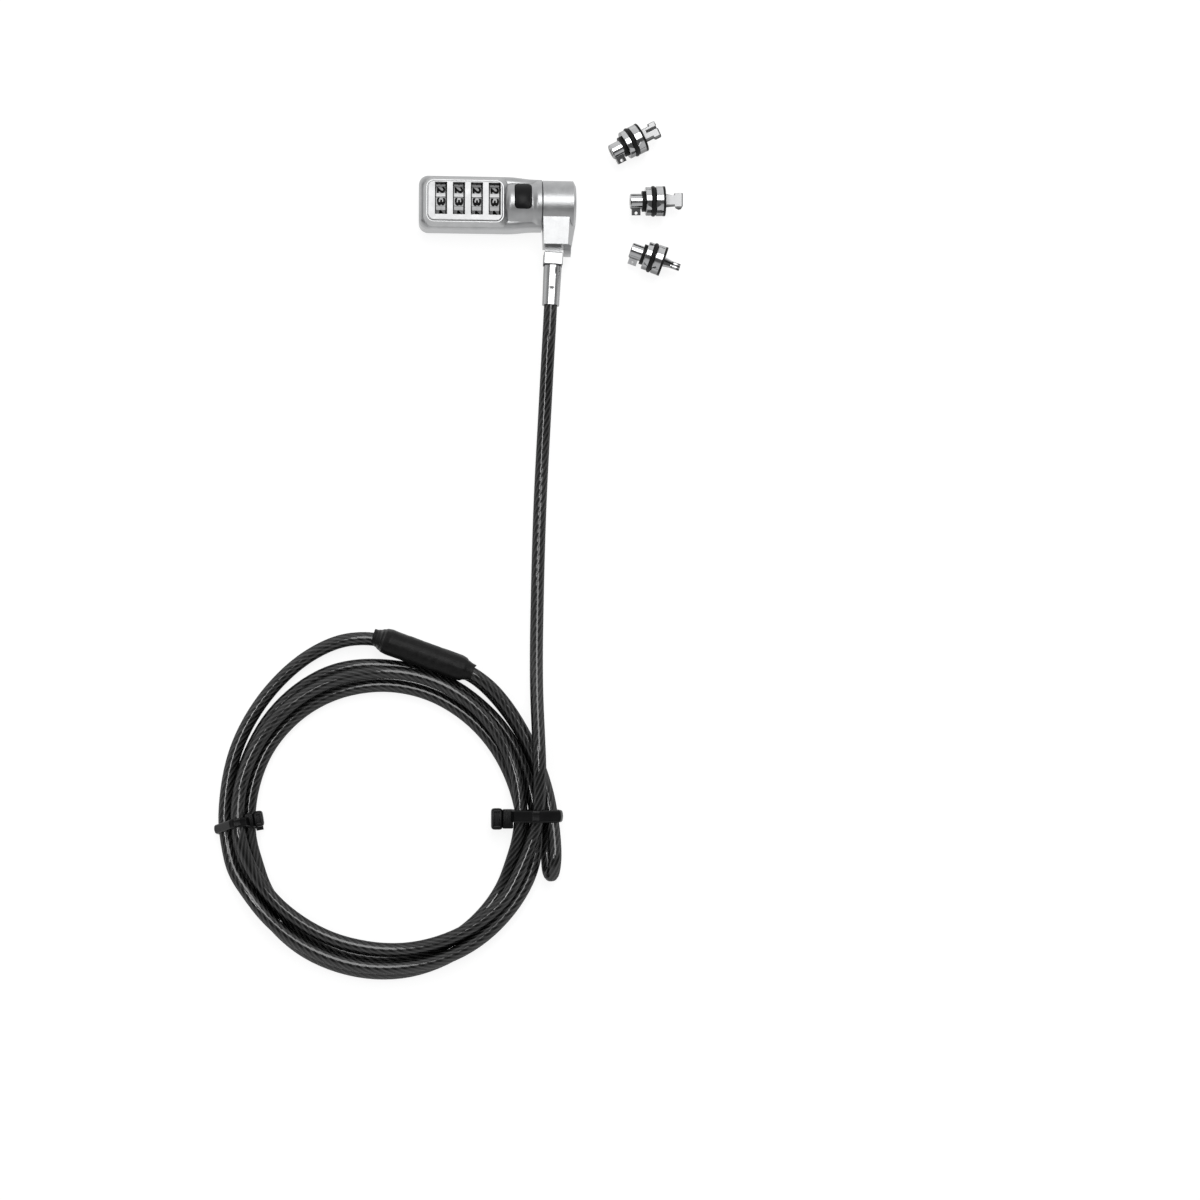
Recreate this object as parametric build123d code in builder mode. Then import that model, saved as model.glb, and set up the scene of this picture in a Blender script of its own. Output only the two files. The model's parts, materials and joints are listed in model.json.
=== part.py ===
from build123d import *
import math
import os

os.makedirs("parts", exist_ok=True)

# Laptop cable lock: a four-dial combination lock on a swivelling collar, a steel
# cable with a crimped end loop, and three interchangeable locking tips.
# Origin: on the table under the lock body's axis. +X runs along the lock axis to
# the tip socket, +Z is up off the table. Millimetres.

# ---------------------------------------------------------------- dimensions
AXIS_Z = 8.4            # height of the lock axis over the rest face
BASE_T = 1.0            # base plate thickness
X_END = -22.4           # closed end of the body
X_NECK = 19.45          # parting face against the collar
HALF_W = 9.2            # half width of the body
LEDGE_Z = 12.4          # top of the side walls
WAIST_Z = 3.8           # under this the side walls draw in
BASE_IN = 0.8
PLATE_Z = 14.6          # seat of the dial plate
TOP_Z = 15.2            # top of the dial plate
CAVITY_X0, CAVITY_X1 = -19.1, 6.5
CAVITY_HW = 7.6

DIAL_N = 4
DIAL_PITCH = 6.05
DIAL_X0 = -14.9
DIAL_R = 7.3
FACET_R = 6.65          # from the axis to a number facet
DIAL_RIM_W = 3.9
DIAL_PHASE = 11.5         # how far the middle ridge sits from the top, toward +Y
DIAL_HUB_W = 5.9
DIAL_BORE = 3.4
WIN_W, WIN_L, WIN_Y = 4.1, 11.0, 0.5
SPINDLE_R = 2.0

BTN_X, BTN_Y, BTN_W, BTN_L = 12.9, 1.75, 5.5, 8.8
LEG_Y = 1.1             # centre of the button's two legs
BTN_TRAVEL = 1.2
RIDGE_R = 7.7
RIM_R = 8.3

BARREL_R = 5.6
SOCKET_R = 3.05
SOCKET_DEPTH = 7.2
COLLAR_R = 8.35
COLLAR_X0, COLLAR_X1 = 19.6, 31.2

PIVOT = (23.4, -18.3)    # hinge of the cable end
FERRULE_TILT = 2.9       # the cable end hangs this far off square, degrees
CABLE_D = 4.5

dial_x = [DIAL_X0 + i * DIAL_PITCH for i in range(DIAL_N)]
AX = Plane(origin=(0, 0, AXIS_Z), x_dir=(0, 1, 0), z_dir=(1, 0, 0))   # looks along +X
SIDE = Plane(origin=(0, 0, 0), x_dir=(1, 0, 0), z_dir=(0, -1, 0))     # X-Z section


def across(x):
    """Plane square to the lock axis at x: local x is +Y, local y is +Z."""
    return Plane(origin=(x, 0, AXIS_Z), x_dir=(0, 1, 0), z_dir=(1, 0, 0))


def body_outline(inset=0.0):
    """Plan of the body: square end with round corners, slightly waisted neck."""
    w = HALF_W - inset
    x0 = X_END + inset
    with BuildSketch(Plane.XY, mode=Mode.PRIVATE) as sk:
        with BuildLine():
            top = Polyline((x0, 0), (x0, w), (7.5, w))
            s1 = Spline((7.5, w), (17.0, w - 0.75), tangents=((1, 0), (1, -0.02)))
            s2 = Polyline((17.0, w - 0.75), (X_NECK, w - 0.78), (X_NECK, 0), (x0, 0))
        make_face()
        mirror(about=Plane.XZ)
        vs = sk.vertices().filter_by(lambda v: abs(v.X - x0) < 1e-6 and abs(v.Y) > 1)
        fillet(vs, 3.2 - inset)
    return sk.sketch


# ---------------------------------------------------------------- lock body
with BuildPart() as upper_housing:
    # side walls up to the ledge
    with BuildSketch(Plane.XY.offset(WAIST_Z)):
        add(body_outline())
    extrude(amount=LEDGE_Z - WAIST_Z)
    rim = upper_housing.faces().sort_by(Axis.Z)[-1].edges().filter_by(lambda e: e.center().X < X_NECK - 0.5)
    fillet(rim, 2.6)
    # the walls draw in toward the base
    with BuildSketch(Plane.XY.offset(BASE_T)):
        add(body_outline(BASE_IN))
    with BuildSketch(Plane.XY.offset(WAIST_Z)):
        add(body_outline())
    loft()
    # bevelled hump that carries the dial plate
    with BuildSketch(Plane.XY.offset(LEDGE_Z - 0.8)):
        with Locations((-6.2, -0.05)):
            RectangleRounded(30.0, 17.0, 3.4)
    with BuildSketch(Plane.XY.offset(PLATE_Z)):
        with Locations((-6.75, -0.25)):
            RectangleRounded(26.2, 14.4, 2.6)
    loft()
    # neck: a round barrel that flares to a rim at the parting face
    with BuildSketch(Plane.XY.offset(AXIS_Z)) as neck_profile:
        with BuildLine():
            Polyline((6.6, 0), (6.6, 6.2))
            ThreePointArc((6.6, 6.2), (7.4, 7.2), (9.2, RIDGE_R))
            Polyline((9.2, RIDGE_R), (15.9, RIDGE_R))
            Spline((15.9, RIDGE_R), (18.0, RIM_R), tangents=((1, 0.05), (1, 0.05)))
            Polyline((18.0, RIM_R), (X_NECK - 0.25, RIM_R), (X_NECK, RIM_R - 0.25), (X_NECK, 0), (6.6, 0))
        make_face()
    revolve(axis=Axis((0, 0, AXIS_Z), (1, 0, 0)))
    # trim the neck where the base plate goes
    with BuildSketch(Plane.XY.offset(-1)):
        Rectangle(80, 40)
    extrude(amount=1 + BASE_T, mode=Mode.SUBTRACT)
    # dial chamber, open to the base
    with BuildSketch(Plane.XY.offset(BASE_T)):
        with Locations(((CAVITY_X0 + CAVITY_X1) / 2, 0)):
            Rectangle(CAVITY_X1 - CAVITY_X0, 2 * CAVITY_HW)
    extrude(amount=10.6, mode=Mode.SUBTRACT)
    # rounded roof of the dial chamber
    with BuildSketch(across(CAVITY_X0)):
        Circle(CAVITY_HW - 0.05)
        with Locations((0, -6)):
            Rectangle(30, 12, mode=Mode.SUBTRACT)
        with Locations((0, 10.9)):
            Rectangle(30, 10, mode=Mode.SUBTRACT)
    extrude(amount=CAVITY_X1 - CAVITY_X0, mode=Mode.SUBTRACT)
    # dial windows through the roof
    with BuildSketch(Plane.XY.offset(10)):
        for x in dial_x:
            with Locations((x, WIN_Y)):
                Rectangle(WIN_W, WIN_L)
    extrude(amount=8, mode=Mode.SUBTRACT)
    # spindle bearing in the end wall, and its way through the partition
    with BuildSketch(across(-21.2)):
        Circle(SPINDLE_R + 0.06)
    extrude(amount=31.3, mode=Mode.SUBTRACT)
    # button well and the chamber for its legs
    with BuildSketch(Plane.XY.offset(10.6)):
        with Locations((BTN_X, BTN_Y)):
            RectangleRounded(BTN_W + 0.4, BTN_L + 0.4, 1.4)
    extrude(amount=8, mode=Mode.SUBTRACT)
    with BuildSketch(Plane.XY.offset(BASE_T)):
        with Locations((BTN_X, LEG_Y)):
            Rectangle(BTN_W + 0.7, 9.4)
    extrude(amount=11.3, mode=Mode.SUBTRACT)
    # bore for the socket barrel
    with BuildSketch(across(15.9)):
        Circle(BARREL_R)
    extrude(amount=6, mode=Mode.SUBTRACT)
    # pilot holes for the base screws
    with BuildSketch(Plane.XY.offset(BASE_T)):
        with Locations((-20.3, 5.2), (-20.3, -5.2), (8.1, 6.6), (8.1, -6.6)):
            Circle(0.8)
    extrude(amount=6.2, mode=Mode.SUBTRACT)
upper_housing.part.label = "upper_housing"
export_step(upper_housing.part, "parts/upper_housing.step")

with BuildPart() as base_plate:
    with BuildSketch(Plane.XY):
        add(body_outline(BASE_IN))
    extrude(amount=BASE_T)
    fillet(base_plate.faces().sort_by(Axis.Z)[0].edges(), 0.45)
    with BuildSketch(Plane.XY.offset(-0.01)):
        with Locations((-20.3, 5.2), (-20.3, -5.2), (8.1, 6.6), (8.1, -6.6)):
            Circle(1.45)
    extrude(amount=0.61, mode=Mode.SUBTRACT)
    with BuildSketch(Plane.XY):
        with Locations((-20.3, 5.2), (-20.3, -5.2), (8.1, 6.6), (8.1, -6.6)):
            Circle(0.9)
    extrude(amount=BASE_T, mode=Mode.SUBTRACT)
base_plate.part.label = "base_plate"
export_step(base_plate.part, "parts/base_plate.step")

with BuildPart() as base_screws:
    for p in ((-20.3, 5.2), (-20.3, -5.2), (8.1, 6.6), (8.1, -6.6)):
        with BuildSketch(Plane.XY.offset(0.1)):
            with Locations(p):
                Circle(1.4)
        extrude(amount=0.5)
        with BuildSketch(Plane.XY.offset(0.6)):
            with Locations(p):
                Circle(0.8)
        extrude(amount=5.6)
        with BuildSketch(Plane.XY.offset(0.1)):
            with Locations(p):
                Rectangle(1.7, 0.36)
                Rectangle(0.36, 1.7)
        extrude(amount=0.35, mode=Mode.SUBTRACT)
base_screws.part.label = "base_screws"
export_step(base_screws.part, "parts/base_screws.step")

with BuildPart() as dial_plate:
    with BuildSketch(Plane.XY.offset(PLATE_Z)):
        with Locations((-6.75, -0.25)):
            RectangleRounded(25.5, 13.7, 2.3)
    extrude(amount=TOP_Z - PLATE_Z)
    fillet(dial_plate.faces().sort_by(Axis.Z)[-1].edges(), 0.4)
    with BuildSketch(Plane.XY.offset(PLATE_Z - 1)):
        for x in dial_x:
            with Locations((x, WIN_Y)):
                Rectangle(WIN_W, WIN_L)
    extrude(amount=3, mode=Mode.SUBTRACT)
dial_plate.part.label = "dial_plate"
export_step(dial_plate.part, "parts/dial_plate.step")

# ---------------------------------------------------------------- dials and code rings
for i, xc in enumerate(dial_x):
    with BuildPart() as dial:
        # ten-sided rim; a flat number facet each 36 degrees, two facets lie
        # under the window so that two numbers show in it
        with BuildSketch(across(xc - DIAL_RIM_W / 2)):
            RegularPolygon(FACET_R / math.cos(math.radians(18)), 10, rotation=-90 - DIAL_PHASE)
        extrude(amount=DIAL_RIM_W)
        # finger ridges at the facet corners
        with BuildSketch(across(xc - DIAL_RIM_W / 2)):
            with PolarLocations(DIAL_R - 0.6, 10, start_angle=90 - DIAL_PHASE):
                Rectangle(1.3, 1.25)
        extrude(amount=DIAL_RIM_W)
        # fine groove that splits each ridge
        with BuildSketch(across(xc - 0.16)):
            Circle(DIAL_R + 2)
            Circle(DIAL_R - 0.24, mode=Mode.SUBTRACT)
        extrude(amount=0.32, mode=Mode.SUBTRACT)
        with BuildSketch(across(xc - DIAL_RIM_W / 2)):
            Circle(DIAL_R + 2)
            Circle(DIAL_R, mode=Mode.SUBTRACT)
        extrude(amount=DIAL_RIM_W, mode=Mode.SUBTRACT)
        # hub
        with BuildSketch(across(xc - DIAL_HUB_W / 2)):
            Circle(4.7)
        extrude(amount=DIAL_HUB_W)
        with BuildSketch(across(xc - DIAL_HUB_W / 2)):
            Circle(DIAL_BORE)
        extrude(amount=DIAL_HUB_W, mode=Mode.SUBTRACT)
    dial.part.label = f"dial_{i + 1}"
    export_step(dial.part, f"parts/dial_{i + 1}.step")

    with BuildPart() as ring:
        with BuildSketch(across(xc - 2.0)):
            Circle(DIAL_BORE - 0.02)
            Circle(SPINDLE_R + 0.06, mode=Mode.SUBTRACT)
            with Locations((0, -SPINDLE_R - 0.4)):
                Rectangle(1.5, 1.3, mode=Mode.SUBTRACT)
        extrude(amount=4.0)
    ring.part.label = f"code_ring_{i + 1}"
    export_step(ring.part, f"parts/code_ring_{i + 1}.step")

# ---------------------------------------------------------------- spindle
with BuildPart() as spindle:
    with BuildSketch(across(-20.6)):
        Circle(SPINDLE_R)
    extrude(amount=29.4)
    # nose that passes between the button's legs into the socket barrel
    with BuildSketch(across(8.8)):
        Circle(1.5)
    extrude(amount=14.4)
    # keys, parked in the gaps between the code rings
    for xc in dial_x:
        with BuildSketch(across(xc - 3.95)):
            with Locations((0, -SPINDLE_R - 0.2)):
                Rectangle(1.2, 1.1)
        extrude(amount=0.7)
    # cross hole for the cam pin
    with BuildSketch(Plane(origin=(BTN_X, 0, AXIS_Z), x_dir=(1, 0, 0), z_dir=(0, 1, 0))):
        Circle(0.6)
    extrude(amount=4, both=True, mode=Mode.SUBTRACT)
spindle.part.label = "spindle"
export_step(spindle.part, "parts/spindle.step")

with BuildPart() as cam_pin:
    with BuildSketch(Plane(origin=(BTN_X, LEG_Y - 4.1, AXIS_Z), x_dir=(1, 0, 0), z_dir=(0, 1, 0))):
        Circle(0.6)
    extrude(amount=8.2)
cam_pin.part.label = "cam_pin"
export_step(cam_pin.part, "parts/cam_pin.step")

# leaf comb under the dials: four fingers that click each dial into place
with BuildPart() as detent_comb:
    with BuildSketch(Plane.XY.offset(BASE_T)):
        with Locations(((CAVITY_X0 + CAVITY_X1) / 2, -7.15)):
            Rectangle(CAVITY_X1 - CAVITY_X0 - 0.4, 0.5)
    extrude(amount=4.2)
    for xc in dial_x:
        with BuildSketch(Plane(origin=(xc - 1.3, 0, 0), x_dir=(0, 1, 0), z_dir=(1, 0, 0))):
            with BuildLine():
                Polyline((-7.4, 1.5), (-7.4, 1.0), (-3.6, 1.0), (-3.6, 1.2), (-6.4, 1.2), (-6.9, 1.5), (-7.4, 1.5))
            make_face()
        extrude(amount=2.6)
detent_comb.part.label = "detent_comb"
export_step(detent_comb.part, "parts/detent_comb.step")

# ---------------------------------------------------------------- button
with BuildPart() as release_button:
    with BuildSketch(Plane.XY.offset(12.0)):
        with Locations((BTN_X, BTN_Y)):
            RectangleRounded(BTN_W, BTN_L, 1.2)
    extrude(amount=5)
    # saddle top: follows the round neck, dished for the thumb
    with BuildSketch(Plane.XY.offset(AXIS_Z)):
        with BuildLine():
            ThreePointArc((BTN_X - BTN_W / 2 - 0.2, 8.2), (BTN_X, 7.75), (BTN_X + BTN_W / 2 + 0.2, 8.2))
            Polyline((BTN_X + BTN_W / 2 + 0.2, 8.2), (BTN_X + BTN_W / 2 + 0.2, 0),
                     (BTN_X - BTN_W / 2 - 0.2, 0), (BTN_X - BTN_W / 2 - 0.2, 8.2))
        make_face()
    revolve(axis=Axis((0, 0, AXIS_Z), (1, 0, 0)), mode=Mode.INTERSECT)
    top_edges = release_button.edges().filter_by(lambda e: e.center().Z > 14.0)
    fillet(top_edges, 0.35)
    # two legs with 45 degree cam slots
    for y in (LEG_Y - 3.5, LEG_Y + 3.5):
        with BuildSketch(Plane.XY.offset(5.6)):
            with Locations((BTN_X, y)):
                Rectangle(BTN_W, 1.5)
        extrude(amount=6.5)
    with BuildSketch(Plane(origin=(0, -6, 0), x_dir=(1, 0, 0), z_dir=(0, -1, 0))):
        with BuildLine():
            d = BTN_TRAVEL
            a = 0.7 * math.sqrt(0.5)
            Line((BTN_X - a, AXIS_Z + a), (BTN_X + d - a, AXIS_Z + d + a))
            ThreePointArc((BTN_X + d - a, AXIS_Z + d + a), (BTN_X + d + a, AXIS_Z + d + a), (BTN_X + d + a, AXIS_Z + d - a))
            Line((BTN_X + d + a, AXIS_Z + d - a), (BTN_X + a, AXIS_Z - a))
            ThreePointArc((BTN_X + a, AXIS_Z - a), (BTN_X - a, AXIS_Z - a), (BTN_X - a, AXIS_Z + a))
        make_face()
    extrude(amount=-14, mode=Mode.SUBTRACT)
release_button.part.label = "release_button"
export_step(release_button.part, "parts/release_button.step")

# return springs under the button's legs
with BuildPart() as button_springs:
    for y in (LEG_Y - 3.5, LEG_Y + 3.5):
        with BuildLine():
            Helix(pitch=0.95, height=4.1, radius=0.62, center=(BTN_X, y, 1.25))
        with BuildSketch(Plane(origin=(BTN_X + 0.62, y, 1.25), x_dir=(1, 0, 0), z_dir=(0, 1, 0.2))):
            Circle(0.14)
        sweep(is_frenet=True)
button_springs.part.label = "button_springs"
export_step(button_springs.part, "parts/button_springs.step")

# ---------------------------------------------------------------- socket barrel and collar
with BuildPart() as socket_barrel:
    with BuildSketch(across(15.9)):
        Circle(BARREL_R)
    extrude(amount=15.1)
    chamfer(socket_barrel.faces().sort_by(Axis.X)[-1].edges(), 0.3)
    # groove for the retaining ring
    with BuildSketch(across(29.2)):
        Circle(BARREL_R + 1)
        Circle(BARREL_R - 0.45, mode=Mode.SUBTRACT)
    extrude(amount=0.7, mode=Mode.SUBTRACT)
    # socket for the tip's plug, a wider mouth and the way for its side lug
    with BuildSketch(across(31.0 - SOCKET_DEPTH)):
        Circle(SOCKET_R)
        with Locations((-4.0, 0)):
            Rectangle(2.0, 2.5)
    extrude(amount=SOCKET_DEPTH, mode=Mode.SUBTRACT)
    with BuildSketch(across(31.0 - 1.2)):
        Circle(3.75)
    extrude(amount=1.2, mode=Mode.SUBTRACT)
    # way for the spindle nose
    with BuildSketch(across(15.9)):
        Circle(1.58)
    extrude(amount=12, mode=Mode.SUBTRACT)
socket_barrel.part.label = "socket_barrel"
export_step(socket_barrel.part, "parts/socket_barrel.step")

with BuildPart() as retaining_ring:
    with BuildSketch(across(29.25)):
        Circle(6.5)
        Circle(BARREL_R - 0.45, mode=Mode.SUBTRACT)
        with Locations((0, 6)):
            Rectangle(2.2, 5, mode=Mode.SUBTRACT)
    extrude(amount=0.6)
retaining_ring.part.label = "retaining_ring"
export_step(retaining_ring.part, "parts/retaining_ring.step")

# blank of the cable arm: a wedge that leaves the collar toward the cable
ARM_Y = -14.4
with BuildPart() as arm_blank:
    with BuildSketch(Plane(origin=(COLLAR_X0, 0, 0), x_dir=(0, 1, 0), z_dir=(1, 0, 0))):
        with BuildLine():
            Polyline((0, 2.2), (0, 12.0), (-4.4, 15.0), (ARM_Y, 14.5), (ARM_Y, 3.6), (-7.0, 2.2), (0, 2.2))
        make_face()
    extrude(amount=COLLAR_X1 - COLLAR_X0)
    # plan taper of the outer side
    with BuildSketch(Plane.XY):
        with BuildLine():
            Polyline((COLLAR_X0, 1), (COLLAR_X1, 1), (COLLAR_X1, -5.6), (29.6, ARM_Y), (20.0, ARM_Y), (COLLAR_X0 + 0.15, -5), (COLLAR_X0, 1))
        make_face()
    extrude(amount=20, mode=Mode.INTERSECT)
p1, p2, p3 = Vector(28.75, -4.4, 15.0), Vector(28.1, ARM_Y, 14.5), Vector(30.9, -6.8, 9.8)
cut_n = (p2 - p1).cross(p3 - p1).normalized()
if cut_n.Z < 0:
    cut_n = cut_n * -1
with BuildPart() as arm_wedge:
    add(arm_blank.part)
    split(bisect_by=Plane(origin=p1, z_dir=cut_n), keep=Keep.BOTTOM)

with BuildPart() as collar_arm:
    with BuildSketch(Plane.XY.offset(AXIS_Z)):
        with BuildLine():
            Polyline((COLLAR_X0, 0), (COLLAR_X0, COLLAR_R - 0.2), (COLLAR_X0 + 0.2, COLLAR_R), (COLLAR_X1 - 1.1, COLLAR_R),
                     (COLLAR_X1, COLLAR_R - 2.1), (COLLAR_X1, 0), (COLLAR_X0, 0))
        make_face()
    revolve(axis=Axis((0, 0, AXIS_Z), (1, 0, 0)))
    add(arm_wedge.part)
    # outer ear: a stop beside the cable end
    with BuildSketch(Plane(origin=(27.05, 0, 0), x_dir=(0, 1, 0), z_dir=(1, 0, 0))):
        with BuildLine():
            Polyline((-13.8, 4.2), (-13.8, 11.2), (-15.2, 10.6))
            ThreePointArc((-15.2, 10.6), (-17.5, 7.6), (-15.4, 4.8))
            Polyline((-15.4, 4.8), (-13.8, 4.2))
        make_face()
    extrude(amount=2.35)
    # tongue that enters the fork of the cable end
    with BuildSketch(Plane.XY.offset(AXIS_Z - 1.3)):
        with Locations((PIVOT[0], (PIVOT[1] + ARM_Y + 0.6) / 2)):
            Rectangle(5.5, ARM_Y + 0.6 - PIVOT[1])
        with Locations(PIVOT):
            Circle(2.75)
    extrude(amount=2.6)
    with BuildSketch(Plane.XY.offset(AXIS_Z - 2)):
        with Locations(PIVOT):
            Circle(1.16)
    extrude(amount=4, mode=Mode.SUBTRACT)
    # bore on the barrel, and the pocket of the retaining ring
    with BuildSketch(across(COLLAR_X0 - 1)):
        Circle(BARREL_R + 0.08)
    extrude(amount=14, mode=Mode.SUBTRACT)
    with BuildSketch(across(29.1)):
        Circle(6.7)
    extrude(amount=4, mode=Mode.SUBTRACT)
collar_arm.part.label = "collar_arm"
export_step(collar_arm.part, "parts/collar_arm.step")

# ---------------------------------------------------------------- cable end
ta = math.radians(FERRULE_TILT)
FER = Plane(origin=(PIVOT[0], PIVOT[1], AXIS_Z), x_dir=(math.cos(ta), -math.sin(ta), 0), z_dir=(0, 0, 1))
FER_ROUND = Plane(origin=FER.from_local_coords((0, -2.2, 0)), x_dir=(math.cos(ta), -math.sin(ta), 0),
                  z_dir=(-math.sin(ta), -math.cos(ta), 0))

with BuildPart() as ferrule:
    # fork head
    with BuildSketch(FER.offset(-2.9)):
        with BuildLine():
            Polyline((-3.25, -2.4), (3.25, -2.4), (3.25, 1.4), (2.85, 1.8), (-2.85, 1.8), (-3.25, 1.4), (-3.25, -2.4))
        make_face()
    extrude(amount=5.8)
    # round crimp tube
    with BuildSketch(FER_ROUND):
        Circle(3.1)
    with BuildSketch(FER_ROUND.offset(14.0)):
        Circle(2.9)
    loft()
    # slot for the tongue
    with BuildSketch(FER.offset(-1.4)):
        with Locations((0, -0.7)):
            Rectangle(10, 5.0)
        with Locations((0, 3)):
            Rectangle(10, 6)
    extrude(amount=2.8, mode=Mode.SUBTRACT)
    # holes for the pin, bore for the cable, crimp dimple
    with BuildSketch(FER.offset(-4)):
        Circle(1.1)
    extrude(amount=8, mode=Mode.SUBTRACT)
    with BuildSketch(FER_ROUND.offset(14.0)):
        Circle(CABLE_D / 2 + 0.02)
    extrude(amount=-11.6, mode=Mode.SUBTRACT)
    with BuildSketch(FER.offset(2.6)):
        with Locations((0, -11.0)):
            Circle(0.55)
    extrude(amount=1.0, mode=Mode.SUBTRACT)
ferrule.part.label = "ferrule"
export_step(ferrule.part, "parts/ferrule.step")

with BuildPart() as hinge_pin:
    with BuildSketch(FER.offset(-2.9)):
        Circle(1.1)
    extrude(amount=5.8)
hinge_pin.part.label = "hinge_pin"
export_step(hinge_pin.part, "parts/hinge_pin.step")


# ---------------------------------------------------------------- cable
def route(points):
    """Straight runs joined by tangent arcs, each as large as its two runs allow."""
    p = [Vector(*q) for q in points]
    radii = []
    for a, b, c in zip(p, p[1:], p[2:]):
        turn = (b - a).get_angle(c - b)
        short = min((b - a).length, (c - b).length)
        radii.append(0.45 * short / math.tan(math.radians(turn) / 2))
    return p, radii


def tube_length(p, radii):
    total = sum((b - a).length for a, b in zip(p, p[1:]))
    for (a, b, c), r in zip(zip(p, p[1:], p[2:]), radii):
        t = math.radians((b - a).get_angle(c - b))
        total += r * t - 2 * r * math.tan(t / 2)
    return total


def report(name, part, p, radii):
    want = math.pi * CABLE_D ** 2 / 4 * tube_length(p, radii)
    print(name, "length", round(tube_length(p, radii), 1), "radii", [round(r, 1) for r in radii],
          "volume/expected", round(part.volume / want, 4))


fx, fy = math.sin(ta), math.cos(ta)
RUN = [(PIVOT[0] - 9.2 * fx, PIVOT[1] - 9.2 * fy, AXIS_Z), (PIVOT[0] - 22.4 * fx, PIVOT[1] - 22.4 * fy, AXIS_Z),
       (21.6, -54.0, 7.0), (21.0, -67.5, 4.8), (20.3, -82.0, 3.1), (19.5, -98.0, 2.45), (18.85, -117.0, 2.35),
       (18.4, -137.0, 2.5), (18.05, -154.0, 4.6), (18.0, -167.5, 8.7), (18.45, -180.5, 12.3), (18.95, -192.5, 12.8),
       (18.9, -203.0, 11.5), (18.2, -213.0, 9.3)]
TAIL = [(-85.1, -193.3, 3.4), (-81.5, -181.5, 3.4), (-75.3, -170.4, 3.4), (-67.6, -161.1, 3.5), (-58.8, -153.8, 3.7),
        (-48.8, -148.9, 3.9), (-39.4, -147.9, 4.0), (-33.0, -149.2, 4.0)]
LOOP = [(-6.8, -158.5, 8.7), (-2.5, -160.7, 8.5), (3.3, -165.2, 7.7), (9.2, -172.5, 7.2), (14.5, -181.4, 7.1),
        (18.7, -190.5, 7.3), (21.8, -200.3, 7.8), (23.4, -209.4, 8.3), (24.1, -216.6, 9.4), (24.2, -222.6, 10.8),
        (23.5, -228.0, 8.7), (22.4, -227.6, 4.4), (22.0, -222.4, 2.6), (22.3, -216.0, 2.9),
        (22.7, -209.2, 3.3), (21.4, -200.5, 3.0), (18.55, -191.0, 2.5), (14.2, -181.6, 2.4), (8.6, -172.9, 2.4),
        (2.4, -165.6, 2.9), (-3.0, -161.1, 3.6), (-7.8, -158.9, 4.0)]


def cable_tube(points, name):
    p, radii = route(points)
    with BuildPart() as tube:
        with BuildLine() as line:
            FilletPolyline(*[tuple(v) for v in p], radius=radii)
        with BuildSketch(Plane(origin=p[0], z_dir=(p[1] - p[0]).normalized())):
            Circle(CABLE_D / 2)
        sweep(path=line.wires()[0], transition=Transition.TRANSFORMED)
    report(name, tube.part, p, radii)
    tube.part.label = name
    export_step(tube.part, f"parts/{name}.step")


cable_tube(RUN, "cable_run")
cable_tube(TAIL, "cable_tail")
cable_tube(LOOP, "cable_loop")

# outer shape of the coiled turns
COIL_TOP = 10.8
COIL_SIDE = 4.2         # the bundle's upright sides end here and slope in to its top
COIL_SLOPE = 4.2
COIL_OUT = [(19.8, -208.4), (16.0, -231.3), (2.1, -250.1), (-18.7, -261.1), (-42.3, -261.8), (-64.0, -252.5), (-80.0, -235.3),
            (-88.2, -208.1), (-80.9, -180.6), (-60.8, -160.7), (-40.8, -155.5), (-20.1, -158.7), (-5.4, -165.2),
            (7.4, -176.6), (15.9, -192.2)]
COIL_IN = [(9.9, -208.4), (4.5, -230.0), (-11.3, -245.9), (-32.9, -250.4), (-54.0, -244.6), (-70.6, -229.9), (-76.2, -208.2),
           (-70.3, -186.8), (-54.6, -171.3), (-33.4, -166.1), (-12.5, -172.2), (1.1, -184.3), (7.9, -197.4)]
with BuildPart() as cable_coil:
    with BuildSketch(Plane.XY.offset(1.05)):
        with BuildLine():
            Spline(*COIL_OUT, periodic=True)
        make_face()
    extrude(amount=COIL_TOP - 1.05)
    with BuildSketch(Plane.XY.offset(1.05)):
        with BuildLine():
            Spline(*COIL_IN, periodic=True)
        make_face()
    extrude(amount=COIL_TOP - 1.05, mode=Mode.SUBTRACT)
    top = cable_coil.faces().sort_by(Axis.Z)[-1]
    chamfer(top.edges(), COIL_SLOPE, COIL_TOP - COIL_SIDE, reference=top)
cable_coil.part.label = "cable_coil"
export_step(cable_coil.part, "parts/cable_coil.step")

# ---------------------------------------------------------------- end-loop crimp and its heat-shrink
SL_A, SL_B = Vector(-33.8, -148.7, 6.3), Vector(-6.8, -158.5, 6.3)
sl_dir = (SL_B - SL_A).normalized()
SLEEVE = Plane(origin=SL_A, x_dir=(0, 0, 1), z_dir=sl_dir)      # local x up, local y across
SL_LEN = (SL_B - SL_A).length

with BuildPart() as crimp_sleeve:
    with BuildSketch(SLEEVE.offset(3.0)):
        SlotOverall(10.2, 6.8)
        with Locations((-2.35, 0), (2.35, 0)):
            Circle(1.65, mode=Mode.SUBTRACT)
    extrude(amount=SL_LEN - 6.0)
crimp_sleeve.part.label = "crimp_sleeve"
export_step(crimp_sleeve.part, "parts/crimp_sleeve.step")

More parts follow.
